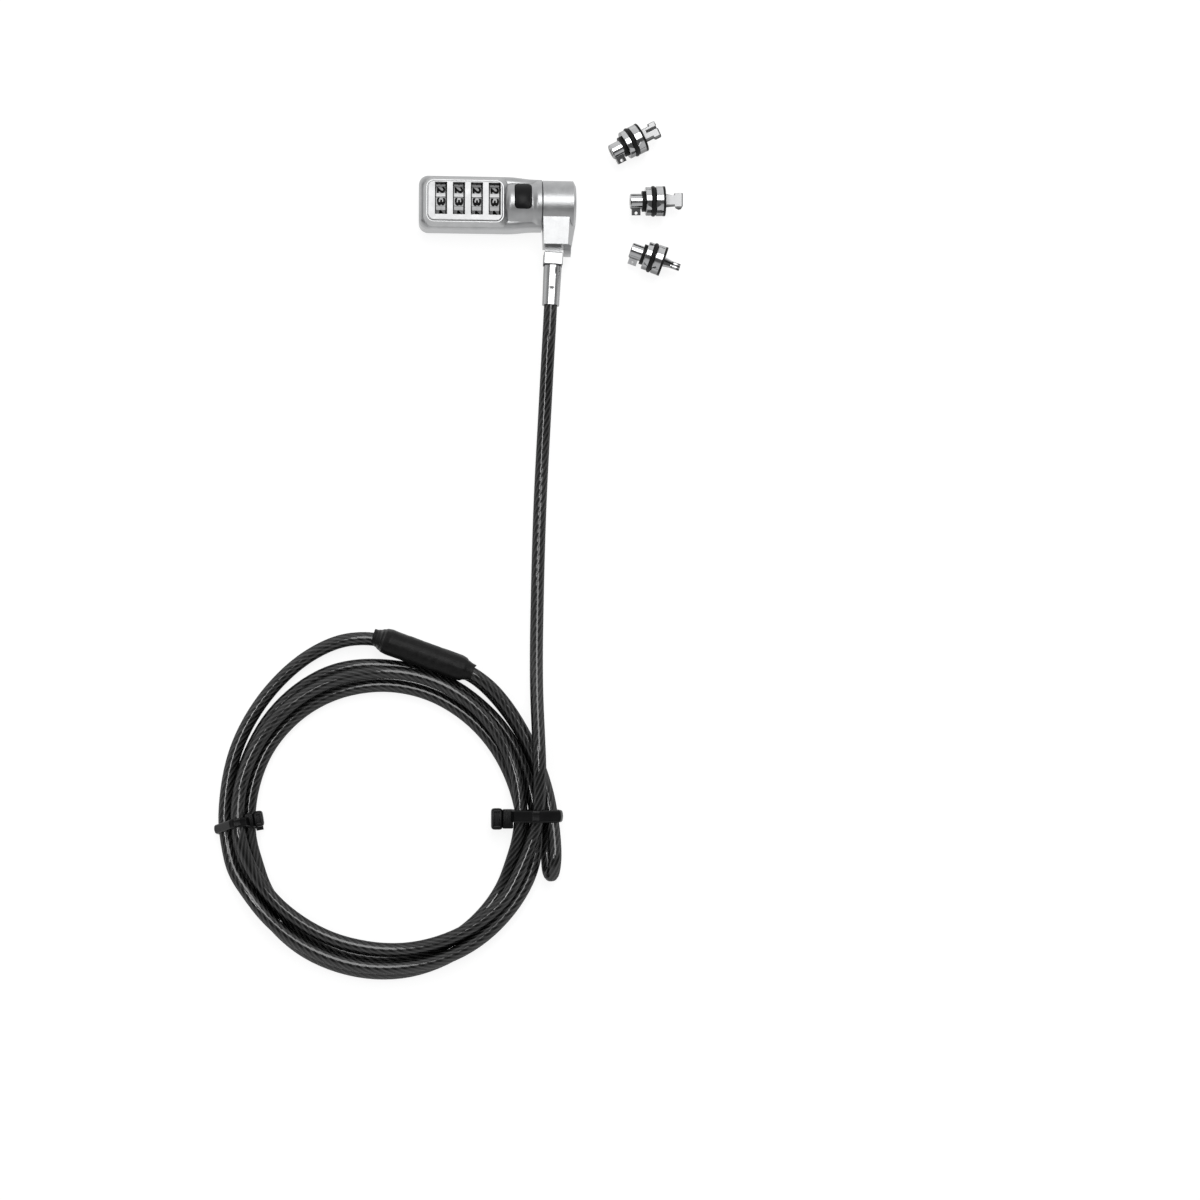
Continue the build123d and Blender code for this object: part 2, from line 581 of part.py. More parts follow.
with BuildPart() as heat_shrink:
    with BuildSketch(SLEEVE):
        SlotOverall(11.4, 9.0)
    extrude(amount=SL_LEN)
    # left end closes on the single cable, right end spreads over the two legs
    with BuildSketch(SLEEVE):
        SlotOverall(11.4, 9.0)
    with BuildSketch(SLEEVE.offset(-4.2)):
        with Locations((-2.3, 0)):
            SlotOverall(6.5, 6.3)
    loft()
    with BuildSketch(SLEEVE.offset(SL_LEN)):
        SlotOverall(11.4, 9.0)
    with BuildSketch(SLEEVE.offset(SL_LEN + 4.4)):
        SlotOverall(11.0, 6.6)
    loft()
    with BuildSketch(SLEEVE.offset(3.0)):
        SlotOverall(10.2, 6.8)
    extrude(amount=SL_LEN - 6.0, mode=Mode.SUBTRACT)
    with BuildSketch(SLEEVE.offset(-6)):
        with Locations((-2.3, 0)):
            Circle(CABLE_D / 2 + 0.15)
    extrude(amount=9.0, mode=Mode.SUBTRACT)
    with BuildSketch(SLEEVE.offset(SL_LEN - 3.0)):
        SlotOverall(9.7, 5.1)
    extrude(amount=9.0, mode=Mode.SUBTRACT)
heat_shrink.part.label = "heat_shrink"
export_step(heat_shrink.part, "parts/heat_shrink.step")

# ---------------------------------------------------------------- cable ties
STRAP_T = 0.95


def tie(name, plane, inner, strap_w, head_at, head_size, head_shift=0.0):
    """One moulded tie: a closed strap round the bundle and the head it locks in."""
    with BuildPart() as t:
        with BuildSketch(plane.offset(-strap_w / 2)) as s:
            with BuildLine():
                Polyline(*inner, close=True)
            make_face()
            offset(amount=STRAP_T, kind=Kind.ARC)
        extrude(amount=strap_w)
        with BuildSketch(plane.offset(head_shift - head_size[2] / 2)):
            with Locations(head_at):
                RectangleRounded(head_size[0], head_size[1], 0.8)
        extrude(amount=head_size[2])
        with BuildSketch(plane.offset(-10)):
            with BuildLine():
                Polyline(*inner, close=True)
            make_face()
        extrude(amount=20, mode=Mode.SUBTRACT)
    t.part.label = name
    export_step(t.part, f"parts/{name}.step")


TIE_R = Plane(origin=(0, -208.0, 0), x_dir=(1, 0, 0), z_dir=(0, -1, 0))
tie("cable_tie_right", TIE_R,
    [(9.6, 1.0), (24.9, 1.0), (25.8, 2.2), (26.1, 8.6), (25.3, 10.3), (18.8, 13.7), (16.2, 13.7), (11.4, 10.9), (9.6, 8.8)],
    4.1, (6.2, 6.6), (7.0, 5.6, 7.4), 0.95)
tl = math.radians(-9.5)
TIE_L = Plane(origin=(-76.2, -209.3, 0), x_dir=(math.cos(tl), -math.sin(tl), 0), z_dir=(-math.sin(tl), -math.cos(tl), 0))
tie("cable_tie_left", TIE_L,
    [(-12.8, 4.6), (-12.5, 1.0), (0.3, 1.0), (0.6, 3.8), (-3.2, 11.3), (-4.5, 12.1), (-6.3, 12.1), (-7.4, 11.5)],
    3.6, (0.1, 8.0), (6.0, 4.2, 5.4), -0.4)

# ---------------------------------------------------------------- locking tips
TIP_R = 5.1             # flange radius
O_RING_R, O_WIRE = 4.45, 0.8


def tip(name, origin, angle, roll, blade, stem_t=2.3, blade_roll=None):
    """A turned plug with two flanges; local z runs from the plug to the blade."""
    c, s = math.cos(math.radians(angle)), math.sin(math.radians(angle))
    axis = Vector(c, s, 0)
    r = math.radians(roll)
    f = Plane(origin=origin, x_dir=(-s * math.cos(r), c * math.cos(r), math.sin(r)), z_dir=axis)
    rb = math.radians(roll if blade_roll is None else blade_roll)
    fb = Plane(origin=origin, x_dir=(-s * math.cos(rb), c * math.cos(rb), math.sin(rb)), z_dir=axis)
    with BuildPart() as plug:
        with BuildSketch(Plane(origin=f.origin, x_dir=f.z_dir, z_dir=f.y_dir)) as prof:
            with BuildLine():
                Polyline((0, 0), (0, 2.35), (0.3, 2.65), (5.3, 2.65), (5.3, 4.7), (5.5, 4.9), (7.1, 4.9),
                         (7.1, 3.9), (8.8, 3.9), (8.8, TIP_R - 0.15), (8.95, TIP_R), (11.2, TIP_R), (11.2, 0), (0, 0))
            make_face()
        revolve(axis=Axis(f.origin, f.z_dir))
        # side lug with an eye
        with BuildSketch(f.offset(0.5)):
            with Locations((-3.2, 0)):
                Rectangle(2.9, 2.2)
        extrude(amount=3.0)
        with BuildSketch(Plane(origin=f.from_local_coords((-3.9, -3, 2.0)), x_dir=f.z_dir, z_dir=f.y_dir)):
            Circle(0.55)
        extrude(amount=6, mode=Mode.SUBTRACT)
        # way for the locking leaf, open at the plug
        with BuildSketch(fb.offset(-1)):
            Rectangle(2.5, 1.1)
        extrude(amount=14, mode=Mode.SUBTRACT)
        # diamond key notch across the gap between the flanges
        with BuildSketch(Plane(origin=f.from_local_coords((-0.9, 4.2, 7.95)), x_dir=f.z_dir, z_dir=f.y_dir)):
            Polygon((-2.4, 0), (0, 1.6), (2.4, 0), (0, -1.6), align=None)
        extrude(amount=3, mode=Mode.SUBTRACT)
    plug.part.label = f"{name}_body"
    export_step(plug.part, f"parts/{name}_body.step")

    with BuildPart() as oring:
        with BuildSketch(Plane(origin=f.origin, x_dir=f.z_dir, z_dir=f.y_dir)):
            with Locations((7.95, O_RING_R)):
                Circle(O_WIRE)
        revolve(axis=Axis(f.origin, f.z_dir))
        with BuildSketch(f.offset(6)):
            Circle(3.9)
        extrude(amount=4, mode=Mode.SUBTRACT)
    oring.part.label = f"{name}_o_ring"
    export_step(oring.part, f"parts/{name}_o_ring.step")

    with BuildPart() as gasket:
        with BuildSketch(f.offset(4.1)):
            Circle(3.55)
            Circle(2.67, mode=Mode.SUBTRACT)
        extrude(amount=1.15)
    gasket.part.label = f"{name}_gasket"
    export_step(gasket.part, f"parts/{name}_gasket.step")

    with BuildPart() as washer:
        with BuildSketch(fb.offset(11.2)):
            Circle(TIP_R + 0.02)
            Rectangle(5.0, stem_t, mode=Mode.SUBTRACT)
        extrude(amount=0.8)
    washer.part.label = f"{name}_washer"
    export_step(washer.part, f"parts/{name}_washer.step")

    blade(name, fb)


def t_blade(name, f):
    """Flat hook blade with a slot, and the leaf that fills the slot."""
    with BuildPart() as hook:
        with BuildSketch(Plane(origin=f.from_local_coords((0, -1.1, 0)), x_dir=f.x_dir, z_dir=-f.y_dir)) as sk:
            with BuildLine():
                Polyline((-2.25, 11.2), (2.25, 11.2), (2.25, 15.6), (3.0, 15.9), (3.0, 18.0), (1.0, 18.2), (-2.2, 18.2),
                         (-2.9, 17.9), (-2.9, 16.0), (-2.25, 15.7), (-2.25, 11.2))
            make_face()
        extrude(amount=-2.2)
        with BuildSketch(f.offset(10)):
            Rectangle(2.6, 1.14)
        extrude(amount=9, mode=Mode.SUBTRACT)
        # the leaf's window in the upper cheek
        with BuildSketch(Plane(origin=f.from_local_coords((0, 0, 0)), x_dir=f.x_dir, z_dir=-f.y_dir)):
            with Locations((1.0, 16.1)):
                Rectangle(1.2, 4.4)
        extrude(amount=-3, mode=Mode.SUBTRACT)
    hook.part.label = f"{name}_hook"
    export_step(hook.part, f"parts/{name}_hook.step")
    leaf(name, f, 17.6)


def slim_blade(name, f):
    """Slimmer hook for a small slot: a step above, a rounded hook below."""
    with BuildPart() as hook:
        with BuildSketch(Plane(origin=f.from_local_coords((0, -1.1, 0)), x_dir=f.x_dir, z_dir=-f.y_dir)) as sk:
            with BuildLine():
                Polyline((-2.1, 11.2), (2.3, 11.2), (2.3, 13.0), (1.9, 15.2), (2.7, 15.5), (2.7, 18.1), (-1.6, 18.1),
                         (-2.7, 17.5), (-2.9, 16.6), (-2.5, 15.8), (-1.75, 15.5), (-2.1, 11.2))
            make_face()
        extrude(amount=-2.2)
        with BuildSketch(f.offset(10)):
            Rectangle(2.6, 1.14)
        extrude(amount=9, mode=Mode.SUBTRACT)
    hook.part.label = f"{name}_hook"
    export_step(hook.part, f"parts/{name}_hook.step")
    leaf(name, f, 17.4)


def wedge_blade(name, f):
    """Tapered stem that ends in a fork of two round prongs."""
    with BuildPart() as hook:
        with BuildSketch(f.offset(11.2)):
            RectangleRounded(4.4, 3.6, 0.8)
        with BuildSketch(f.offset(15.4)):
            RectangleRounded(2.9, 2.2, 0.5)
        loft()
        for x, y in ((1.05, 0.55), (-1.05, -0.55)):
            with BuildSketch(f.offset(14.6)):
                with Locations((x, y)):
                    Circle(0.72)
            extrude(amount=3.3)
        with BuildSketch(f.offset(10)):
            Rectangle(2.6, 1.14)
        extrude(amount=5.0, mode=Mode.SUBTRACT)
    hook.part.label = f"{name}_hook"
    export_step(hook.part, f"parts/{name}_hook.step")
    leaf(name, f, 14.2)


def leaf(name, f, front):
    with BuildPart() as lf:
        with BuildSketch(f.offset(1.4)):
            Rectangle(2.4, 1.0)
        extrude(amount=front - 1.4)
    lf.part.label = f"{name}_leaf"
    export_step(lf.part, f"parts/{name}_leaf.step")


TIP_Z = 5.27
tip("tip_t_bar", (43.6, 19.5, TIP_Z), 28.1, 14, t_blade)
tip("tip_slim", (50.1, 2.6, TIP_Z), 1.5, 16, slim_blade)
tip("tip_wedge", (50.3, -14.2, TIP_Z), -19.3, 34, wedge_blade, 3.8, 100)
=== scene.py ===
import bpy
import bmesh
import json
import math
from mathutils import Matrix, Vector, noise

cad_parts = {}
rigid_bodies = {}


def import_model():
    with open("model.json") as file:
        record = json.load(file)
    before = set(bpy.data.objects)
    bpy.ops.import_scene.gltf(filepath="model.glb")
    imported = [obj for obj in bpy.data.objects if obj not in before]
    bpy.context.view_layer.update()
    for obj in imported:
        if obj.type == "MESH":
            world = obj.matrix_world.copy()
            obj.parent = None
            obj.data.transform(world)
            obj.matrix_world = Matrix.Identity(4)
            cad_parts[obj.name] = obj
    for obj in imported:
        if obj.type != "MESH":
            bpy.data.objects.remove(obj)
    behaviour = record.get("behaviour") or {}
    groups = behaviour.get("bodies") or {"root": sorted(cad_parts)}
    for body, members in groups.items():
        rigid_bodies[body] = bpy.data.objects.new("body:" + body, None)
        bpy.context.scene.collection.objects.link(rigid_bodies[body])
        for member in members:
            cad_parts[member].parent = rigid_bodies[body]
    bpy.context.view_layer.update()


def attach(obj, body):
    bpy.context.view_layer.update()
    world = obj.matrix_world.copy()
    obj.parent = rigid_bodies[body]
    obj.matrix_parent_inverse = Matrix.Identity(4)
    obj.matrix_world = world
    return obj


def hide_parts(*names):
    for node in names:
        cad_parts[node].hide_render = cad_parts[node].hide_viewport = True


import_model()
MM = 0.001
scene = bpy.context.scene
scene.view_settings.view_transform = "Standard"


# ------------------------------------------------------------------ helpers
def new_object(name, verts, faces, smooth=True, uvs=None):
    me = bpy.data.meshes.new(name)
    me.from_pydata([tuple(v) for v in verts], [], faces)
    me.validate()
    if uvs is not None:
        layer = me.uv_layers.new(name="UVMap")
        for poly in me.polygons:
            for li in poly.loop_indices:
                layer.data[li].uv = uvs[poly.index][li - poly.loop_start]
    for p in me.polygons:
        p.use_smooth = smooth
    me.update()
    ob = bpy.data.objects.new(name, me)
    scene.collection.objects.link(ob)
    return ob


def grid_faces(rows, cols, close_rows=False, close_cols=True):
    """Quads of a grid of points, row after row."""
    out = []
    for i in range(rows if close_rows else rows - 1):
        for j in range(cols if close_cols else cols - 1):
            a, b = i * cols + j, i * cols + (j + 1) % cols
            c, d = ((i + 1) % rows) * cols + (j + 1) % cols, ((i + 1) % rows) * cols + j
            out.append((a, b, c, d))
    return out


def sharp_by_angle(ob, degrees=35):
    me = ob.data
    bm = bmesh.new()
    bm.from_mesh(me)
    for e in bm.edges:
        e.smooth = len(e.link_faces) == 2 and e.calc_face_angle(0) < math.radians(degrees)
    for f in bm.faces:
        f.smooth = True
    bm.to_mesh(me)
    bm.free()


class Graph:
    """Short-hand for building a node tree."""

    def __init__(self, name):
        self.mat = bpy.data.materials.new(name)
        self.mat.use_nodes = True
        self.nt = self.mat.node_tree
        self.nt.nodes.clear()
        self.out = self.nt.nodes.new("ShaderNodeOutputMaterial")
        self.bsdf = self.nt.nodes.new("ShaderNodeBsdfPrincipled")
        self.nt.links.new(self.bsdf.outputs[0], self.out.inputs[0])
        self.coord = self.nt.nodes.new("ShaderNodeTexCoord")

    def put(self, socket, value):
        if hasattr(value, "links"):
            self.nt.links.new(value, socket)
        else:
            socket.default_value = value

    def set(self, **kw):
        names = {"color": "Base Color", "metal": "Metallic", "rough": "Roughness", "normal": "Normal", "ior": "IOR",
                 "coat": "Coat Weight", "coat_rough": "Coat Roughness", "coat_normal": "Coat Normal",
                 "spec": "Specular IOR Level", "aniso": "Anisotropic"}
        for k, v in kw.items():
            if k == "color" and not hasattr(v, "links"):
                v = (v[0], v[1], v[2], 1)
            self.put(self.bsdf.inputs[names[k]], v)

    def math(self, op, a, b=0.0, c=None):
        n = self.nt.nodes.new("ShaderNodeMath")
        n.operation = op
        self.put(n.inputs[0], a)
        self.put(n.inputs[1], b)
        if c is not None:
            self.put(n.inputs[2], c)
        return n.outputs[0]

    def noise(self, scale, detail=3.0, rough=0.55, vector=None, distort=0.0):
        n = self.nt.nodes.new("ShaderNodeTexNoise")
        self.put(n.inputs["Vector"], vector or self.coord.outputs["Object"])
        n.inputs["Scale"].default_value = scale
        n.inputs["Detail"].default_value = detail
        n.inputs["Roughness"].default_value = rough
        n.inputs["Distortion"].default_value = distort
        return n.outputs[0]

    def ramp(self, fac, stops, interpolation="LINEAR"):
        n = self.nt.nodes.new("ShaderNodeValToRGB")
        n.color_ramp.interpolation = interpolation
        self.put(n.inputs[0], fac)
        el = n.color_ramp.elements
        while len(el) < len(stops):
            el.new(0.5)
        for e, (pos, col) in zip(el, stops):
            e.position = pos
            c = col if hasattr(col, "__len__") else (col, col, col)
            e.color = (c[0], c[1], c[2], 1)
        return n.outputs[0]

    def span(self, fac, lo, hi, a=0.0, b=1.0):
        n = self.nt.nodes.new("ShaderNodeMapRange")
        self.put(n.inputs[0], fac)
        n.inputs[1].default_value, n.inputs[2].default_value = lo, hi
        n.inputs[3].default_value, n.inputs[4].default_value = a, b
        return n.outputs[0]

    def mix(self, fac, a, b, mode="MIX"):
        n = self.nt.nodes.new("ShaderNodeMix")
        n.data_type = "RGBA"
        n.blend_type = mode
        self.put(n.inputs[0], fac)
        for s, v in ((n.inputs[6], a), (n.inputs[7], b)):
            self.put(s, v if hasattr(v, "links") else (v[0], v[1], v[2], 1))
        return n.outputs[2]

    def bump(self, height, distance, strength=1.0, normal=None):
        n = self.nt.nodes.new("ShaderNodeBump")
        n.inputs["Strength"].default_value = strength
        n.inputs["Distance"].default_value = distance
        self.put(n.inputs["Height"], height)
        if normal is not None:
            self.put(n.inputs["Normal"], normal)
        return n.outputs[0]

    def rim(self, stops):
        """Tone factor that falls off down the sides of a piece: position 0 on its level top, 1 on an upright side. In a
        base colour it paints shade down the sides; on the rope's coat it sets the gloss weight.
        """
        n = self.nt.nodes.new("ShaderNodeSeparateXYZ")
        self.put(n.inputs[0], self.coord.outputs["Normal"])
        return self.ramp(self.math("SUBTRACT", 1.0, self.math("ABSOLUTE", n.outputs[2])), stops)

    def stretched(self, sx, sy, sz):
        n = self.nt.nodes.new("ShaderNodeMapping")
        self.put(n.inputs["Vector"], self.coord.outputs["Object"])
        n.inputs["Scale"].default_value = (sx, sy, sz)
        return n.outputs[0]


# ------------------------------------------------------------------ materials
DIAL_PHASE = 11.5        # degrees the middle ridge of a dial sits off the top, toward +Y


def satin_metal(name, tone, rough=0.3, grain=9000, grain_depth=0.000012, spread=0.10, side=1.0):
    """Satin plated zinc: fine matt grain, faint cloudy tone, few hairline marks, and painted shade down the sides when
    side is below 1.
    """
    g = Graph(name)
    cloud = g.noise(260, 4, 0.6)
    fine = g.noise(grain, 2, 0.5)
    lines = g.noise(700, 2, 0.5, g.stretched(1.0, 14.0, 14.0))
    tone_a = tuple(c * (1 - spread) for c in tone)
    tone_b = tuple(min(1, c * (1 + spread)) for c in tone)
    base = g.ramp(g.span(cloud, 0.3, 0.7), [(0.0, tone_a), (1.0, tone_b)])
    speck = g.span(fine, 0.35, 0.75, 0.93, 1.06)
    base = g.mix(1.0, base, g.ramp(speck, [(0.0, 0.0), (1.0, 1.0)]), "MULTIPLY")
    # painted shade: the colour darkens down the sides to the side factor
    base = g.mix(1.0, base, g.rim([(0.0, 1.0), (0.03, 1.0), (0.25, side), (1.0, side)]), "MULTIPLY")
    r = g.math("ADD", g.span(cloud, 0.3, 0.7, rough - 0.04, rough + 0.05), g.span(lines, 0.45, 0.75, 0.0, 0.05))
    g.set(color=base, metal=1.0, rough=r, normal=g.bump(g.math("ADD", fine, g.math("MULTIPLY", lines, 0.25)), grain_depth, 0.6))
    return g.mat


def brushed_metal(name, tone, rough, along=(1, 30, 30), scale=420, depth=0.000006):
    g = Graph(name)
    lines = g.noise(scale, 3, 0.6, g.stretched(*along))
    cloud = g.noise(180, 3, 0.5)
    base = g.ramp(g.span(lines, 0.3, 0.7), [(0.0, tuple(c * 0.93 for c in tone)), (1.0, tuple(min(1, c * 1.04) for c in tone))])
    g.set(color=base, metal=1.0, rough=g.math("ADD", g.span(cloud, 0.3, 0.7, rough - 0.03, rough + 0.04), g.span(lines, 0.3, 0.8, 0.0, 0.04)),
          normal=g.bump(lines, depth, 0.5))
    return g.mat


def local_mm(g, ox, oy, degrees):
    """Distances in mm along and across a direction in plan, from a point on the part."""
    xyz = g.nt.nodes.new("ShaderNodeSeparateXYZ")
    g.put(xyz.inputs[0], g.coord.outputs["Object"])
    x = g.math("SUBTRACT", g.math("DIVIDE", xyz.outputs[0], MM), ox)
    y = g.math("SUBTRACT", g.math("DIVIDE", xyz.outputs[1], MM), oy)
    c, sn = math.cos(math.radians(degrees)), math.sin(math.radians(degrees))
    along = g.math("ADD", g.math("MULTIPLY", x, c), g.math("MULTIPLY", y, sn))
    across = g.math("SUBTRACT", g.math("MULTIPLY", y, c), g.math("MULTIPLY", x, sn))
    return along, across


def ferrule_metal(name):
    """Turned and crimped cable end: flat pressed along its top, painted shade down the sides, painted shade along the
    head's edges and in the line under it, painted shade in the crimp dimple and a dark painted line beside the pressed
    flat.
    """
    g = Graph(name)
    cloud = g.noise(260, 4, 0.6)
    fine = g.noise(9000, 2, 0.5)
    across, along = local_mm(g, 23.4, -18.3, -2.9)       # across the cable end, then toward the lock

    def spot(cx, cy, rx, ry):
        a = g.math("DIVIDE", g.math("SUBTRACT", across, cx), rx)
        b = g.math("DIVIDE", g.math("SUBTRACT", along, cy), ry)
        return g.math("SQRT", g.math("ADD", g.math("MULTIPLY", a, a), g.math("MULTIPLY", b, b)))

    # painted shade in the crimp dimple, and a dark line painted beside the pressed flat
    painted_dimple_shade_and_line = g.math("MINIMUM", spot(-0.05, -10.4, 1.0, 0.58), spot(0.95, -4.5, 0.36, 1.4))
    # painted shade along the head's sides and top edge, and in the line under the head
    edge = g.math("MINIMUM", g.math("SUBTRACT", 3.25, g.math("ABSOLUTE", across)), g.math("SUBTRACT", 1.8, along))
    edge = g.math("MINIMUM", edge, g.math("ABSOLUTE", g.math("ADD", along, 2.42)))
    base = g.ramp(g.span(cloud, 0.3, 0.7), [(0.0, (0.43, 0.434, 0.438)), (1.0, (0.49, 0.494, 0.498))])
    # painted shade down the sides of the tube and head
    base = g.mix(1.0, base, g.rim([(0.0, 1.0), (0.35, 0.9), (0.7, 0.42), (1.0, 0.15)]), "MULTIPLY")
    base = g.mix(1.0, base, g.ramp(painted_dimple_shade_and_line, [(0.0, 0.16), (0.8, 0.18), (1.0, 1.0)]), "MULTIPLY")
    base = g.mix(1.0, base, g.ramp(edge, [(0.0, 0.16), (0.26, 0.20), (0.42, 1.0)]), "MULTIPLY")
    flat = g.math("MINIMUM", g.math("MULTIPLY", across, across), 1.0)           # levels the crown of the tube
    tube = g.math("LESS_THAN", along, -2.4)
    press = g.bump(g.math("MULTIPLY", flat, tube), 0.000175, 1.0)
    g.set(color=base, metal=1.0, rough=g.span(cloud, 0.3, 0.7, 0.20, 0.28), normal=press)
    return g.mat


def dial_metal(name):
    """Satin number flats with grip ridges between them: painted highlight on the ridges, painted shade in the grooves
    beside them and at both sides of the rim.
    """
    g = Graph(name)
    cloud = g.noise(260, 4, 0.6)
    fine = g.noise(9000, 2, 0.5)
    xyz = g.nt.nodes.new("ShaderNodeSeparateXYZ")
    g.put(xyz.inputs[0], g.coord.outputs["Object"])
    angle = g.math("SUBTRACT", g.math("ARCTAN2", xyz.outputs[1], g.math("SUBTRACT", xyz.outputs[2], 0.0084)), math.radians(DIAL_PHASE))
    step = g.math("FRACT", g.math("ADD", g.math("DIVIDE", angle, math.radians(36)), 10.5))
    ridge = g.math("ABSOLUTE", g.math("SUBTRACT", step, 0.5))                # 0 on a ridge, 0.5 in the middle of a flat
    place = g.math("DIVIDE", g.math("ADD", g.math("DIVIDE", xyz.outputs[0], MM), 14.9), 6.05)
    from_mid = g.math("MULTIPLY", g.math("SUBTRACT", place, g.math("ROUND", place)), 6.05)   # mm from the middle of the dial's rim
    base = g.ramp(g.span(cloud, 0.3, 0.7), [(0.0, (0.43, 0.433, 0.437)), (1.0, (0.50, 0.503, 0.507))])
    # painted highlight: the ridges get a lighter colour
    bright = g.ramp(ridge, [(0.0, 1.0), (0.125, 1.0), (0.15, 0.0), (1.0, 0.0)])
    base = g.mix(bright, base, (0.62, 0.623, 0.628, 1))
    # painted shade in the grooves beside each ridge
    painted_groove_shade = g.ramp(ridge, [(0.0, 1.0), (0.13, 1.0), (0.145, 0.45), (0.165, 0.55), (0.185, 1.0), (1.0, 1.0)])
    base = g.mix(1.0, base, painted_groove_shade, "MULTIPLY")
    # painted shade at both sides of the dial's rim
    sides = g.ramp(g.span(from_mid, -2.0, 2.0), [(0.0, 0.03), (0.055, 0.05), (0.10, 1.0), (0.84, 1.0), (0.885, 0.05), (1.0, 0.03)])
    base = g.mix(1.0, base, sides, "MULTIPLY")
    rough = g.span(cloud, 0.3, 0.7, 0.34, 0.42)
    g.set(color=base, metal=0.18, spec=0.2, rough=rough, normal=g.bump(fine, 0.000012, 0.6))
    return g.mat


def chrome_metal(name):
    """Bright plate with faint turning marks and a few dull patches; painted shade down the sides."""
    g = Graph(name)
    cloud = g.noise(320, 4, 0.6)
    marks = g.noise(2600, 2, 0.5)
    base = g.ramp(g.span(cloud, 0.3, 0.72), [(0.0, (0.54, 0.545, 0.55)), (1.0, (0.66, 0.665, 0.67))])
    # painted shade: the colour darkens down the sides
    base = g.mix(1.0, base, g.rim([(0.0, 1.0), (0.30, 0.85), (0.62, 0.38), (1.0, 0.06)]), "MULTIPLY")
    g.set(color=base, metal=1.0, rough=g.span(cloud, 0.3, 0.7, 0.07, 0.15), normal=g.bump(marks, 0.000008, 0.35))
    return g.mat


def hook_metal(name, ox, oy, degrees, half, head_half, step_at, end):
    """Stamped hook blade: bright brushed face, painted shade as a dark outline all round, and a wider band of painted
    shade along the lower side.
    """
    g = Graph(name)
    along, across = local_mm(g, ox, oy, degrees)
    lines = g.noise(420, 3, 0.6, g.stretched(1, 30, 30))
    base = g.ramp(g.span(lines, 0.3, 0.7), [(0.0, (0.88, 0.883, 0.888)), (1.0, (0.96, 0.963, 0.968))])
    wide = g.math("ADD", half, g.math("MULTIPLY", g.math("GREATER_THAN", along, step_at), head_half - half))
    lower = g.math("ADD", wide, across)
    upper = g.math("SUBTRACT", wide, across)
    tip_end = g.math("SUBTRACT", end, along)
    # painted shade: a wide dark band along the lower side
    base = g.mix(1.0, base, g.ramp(lower, [(0.0, 0.10), (0.18, 0.16), (0.62, 0.30), (0.78, 0.12), (0.92, 1.0)]), "MULTIPLY")
    # painted shade: a dark outline along the upper side and the tip end
    base = g.mix(1.0, base, g.ramp(g.math("MINIMUM", upper, tip_end), [(0.0, 0.05), (0.24, 0.10), (0.40, 1.0)]), "MULTIPLY")
    g.set(color=base, metal=1.0, rough=g.math("ADD", 0.56, g.span(lines, 0.3, 0.8, 0.0, 0.06)), normal=g.bump(lines, 0.000006, 0.5))
    return g.mat


def wedge_metal(name):
    """Plated fork of the wedge tip: painted shade down the sides, in the hollows between stem and prongs, and on the
    knobs at the ends.
    """
    g = Graph(name)
    along, across = local_mm(g, 50.3, -14.2, -19.3)
    marks = g.noise(2600, 2, 0.5)
    cloud = g.noise(320, 4, 0.6)
    base = g.ramp(g.span(cloud, 0.3, 0.72), [(0.0, (0.54, 0.545, 0.55)), (1.0, (0.66, 0.665, 0.67))])
    # painted shade: the colour darkens down the sides
    base = g.mix(1.0, base, g.rim([(0.0, 1.0), (0.30, 0.85), (0.62, 0.30), (1.0, 0.04)]), "MULTIPLY")
    # painted shade at the knobs' necks and ends
    painted_knob_shade = g.ramp(g.math("DIVIDE", along, 20.0), [(0.0, 1.0), (0.735, 1.0), (0.75, 0.20), (0.785, 0.9), (0.83, 0.9), (0.85, 0.16), (1.0, 0.10)])
    base = g.mix(1.0, base, painted_knob_shade, "MULTIPLY")
    # painted shade in the hollow between the prongs
    valley = g.ramp(g.math("ABSOLUTE", across), [(0.0, 0.10), (0.16, 0.16), (0.34, 1.0), (1.0, 1.0)])
    base = g.mix(1.0, base, valley, "MULTIPLY")
    g.set(color=base, metal=1.0, rough=0.14, normal=g.bump(marks, 0.000008, 0.35))
    return g.mat


def moulded(name, tone, rough, grain=5200, depth=0.00001, spread=0.25, spec=0.5):
    g = Graph(name)
    fine = g.noise(grain, 3, 0.6)
    cloud = g.noise(240, 3, 0.55)
    base = g.ramp(g.span(cloud, 0.3, 0.7), [(0.0, tuple(c * (1 - spread) for c in tone)), (1.0, tuple(c * (1 + spread) for c in tone))])
    g.set(color=base, rough=g.math("ADD", g.span(cloud, 0.3, 0.7, rough - 0.05, rough + 0.05), g.span(fine, 0.4, 0.8, 0.0, 0.06)),
          spec=spec, normal=g.bump(fine, depth, 0.6))
    return g.mat


satin = satin_metal("satin_nickel", (0.42, 0.424, 0.428), 0.36)
# the dial plate's sides get painted shade (side=0.55)
plate_mat = satin_metal("bright_plate", (0.50, 0.502, 0.506), 0.46, spread=0.04, side=0.55)
ferrule_mat = ferrule_metal("ferrule_nickel")
dial_mat = dial_metal("dial_metal")
t_hook_mat = hook_metal("t_hook_steel", 43.6, 19.5, 28.1, 2.25, 2.95, 15.8, 18.15)
slim_hook_mat = hook_metal("slim_hook_steel", 50.1, 2.6, 1.5, 2.15, 2.8, 15.4, 18.1)
wedge_mat = wedge_metal("wedge_chrome")
chrome = chrome_metal("chrome")
steel = brushed_metal("steel", (0.46, 0.46, 0.47), 0.26)
brass = brushed_metal("brass", (0.62, 0.44, 0.17), 0.24)
button_mat = moulded("black_plastic", (0.005, 0.005, 0.0055), 0.33, spec=0.16)
rubber = moulded("black_rubber", (0.006, 0.006, 0.006), 0.5, spec=0.2)
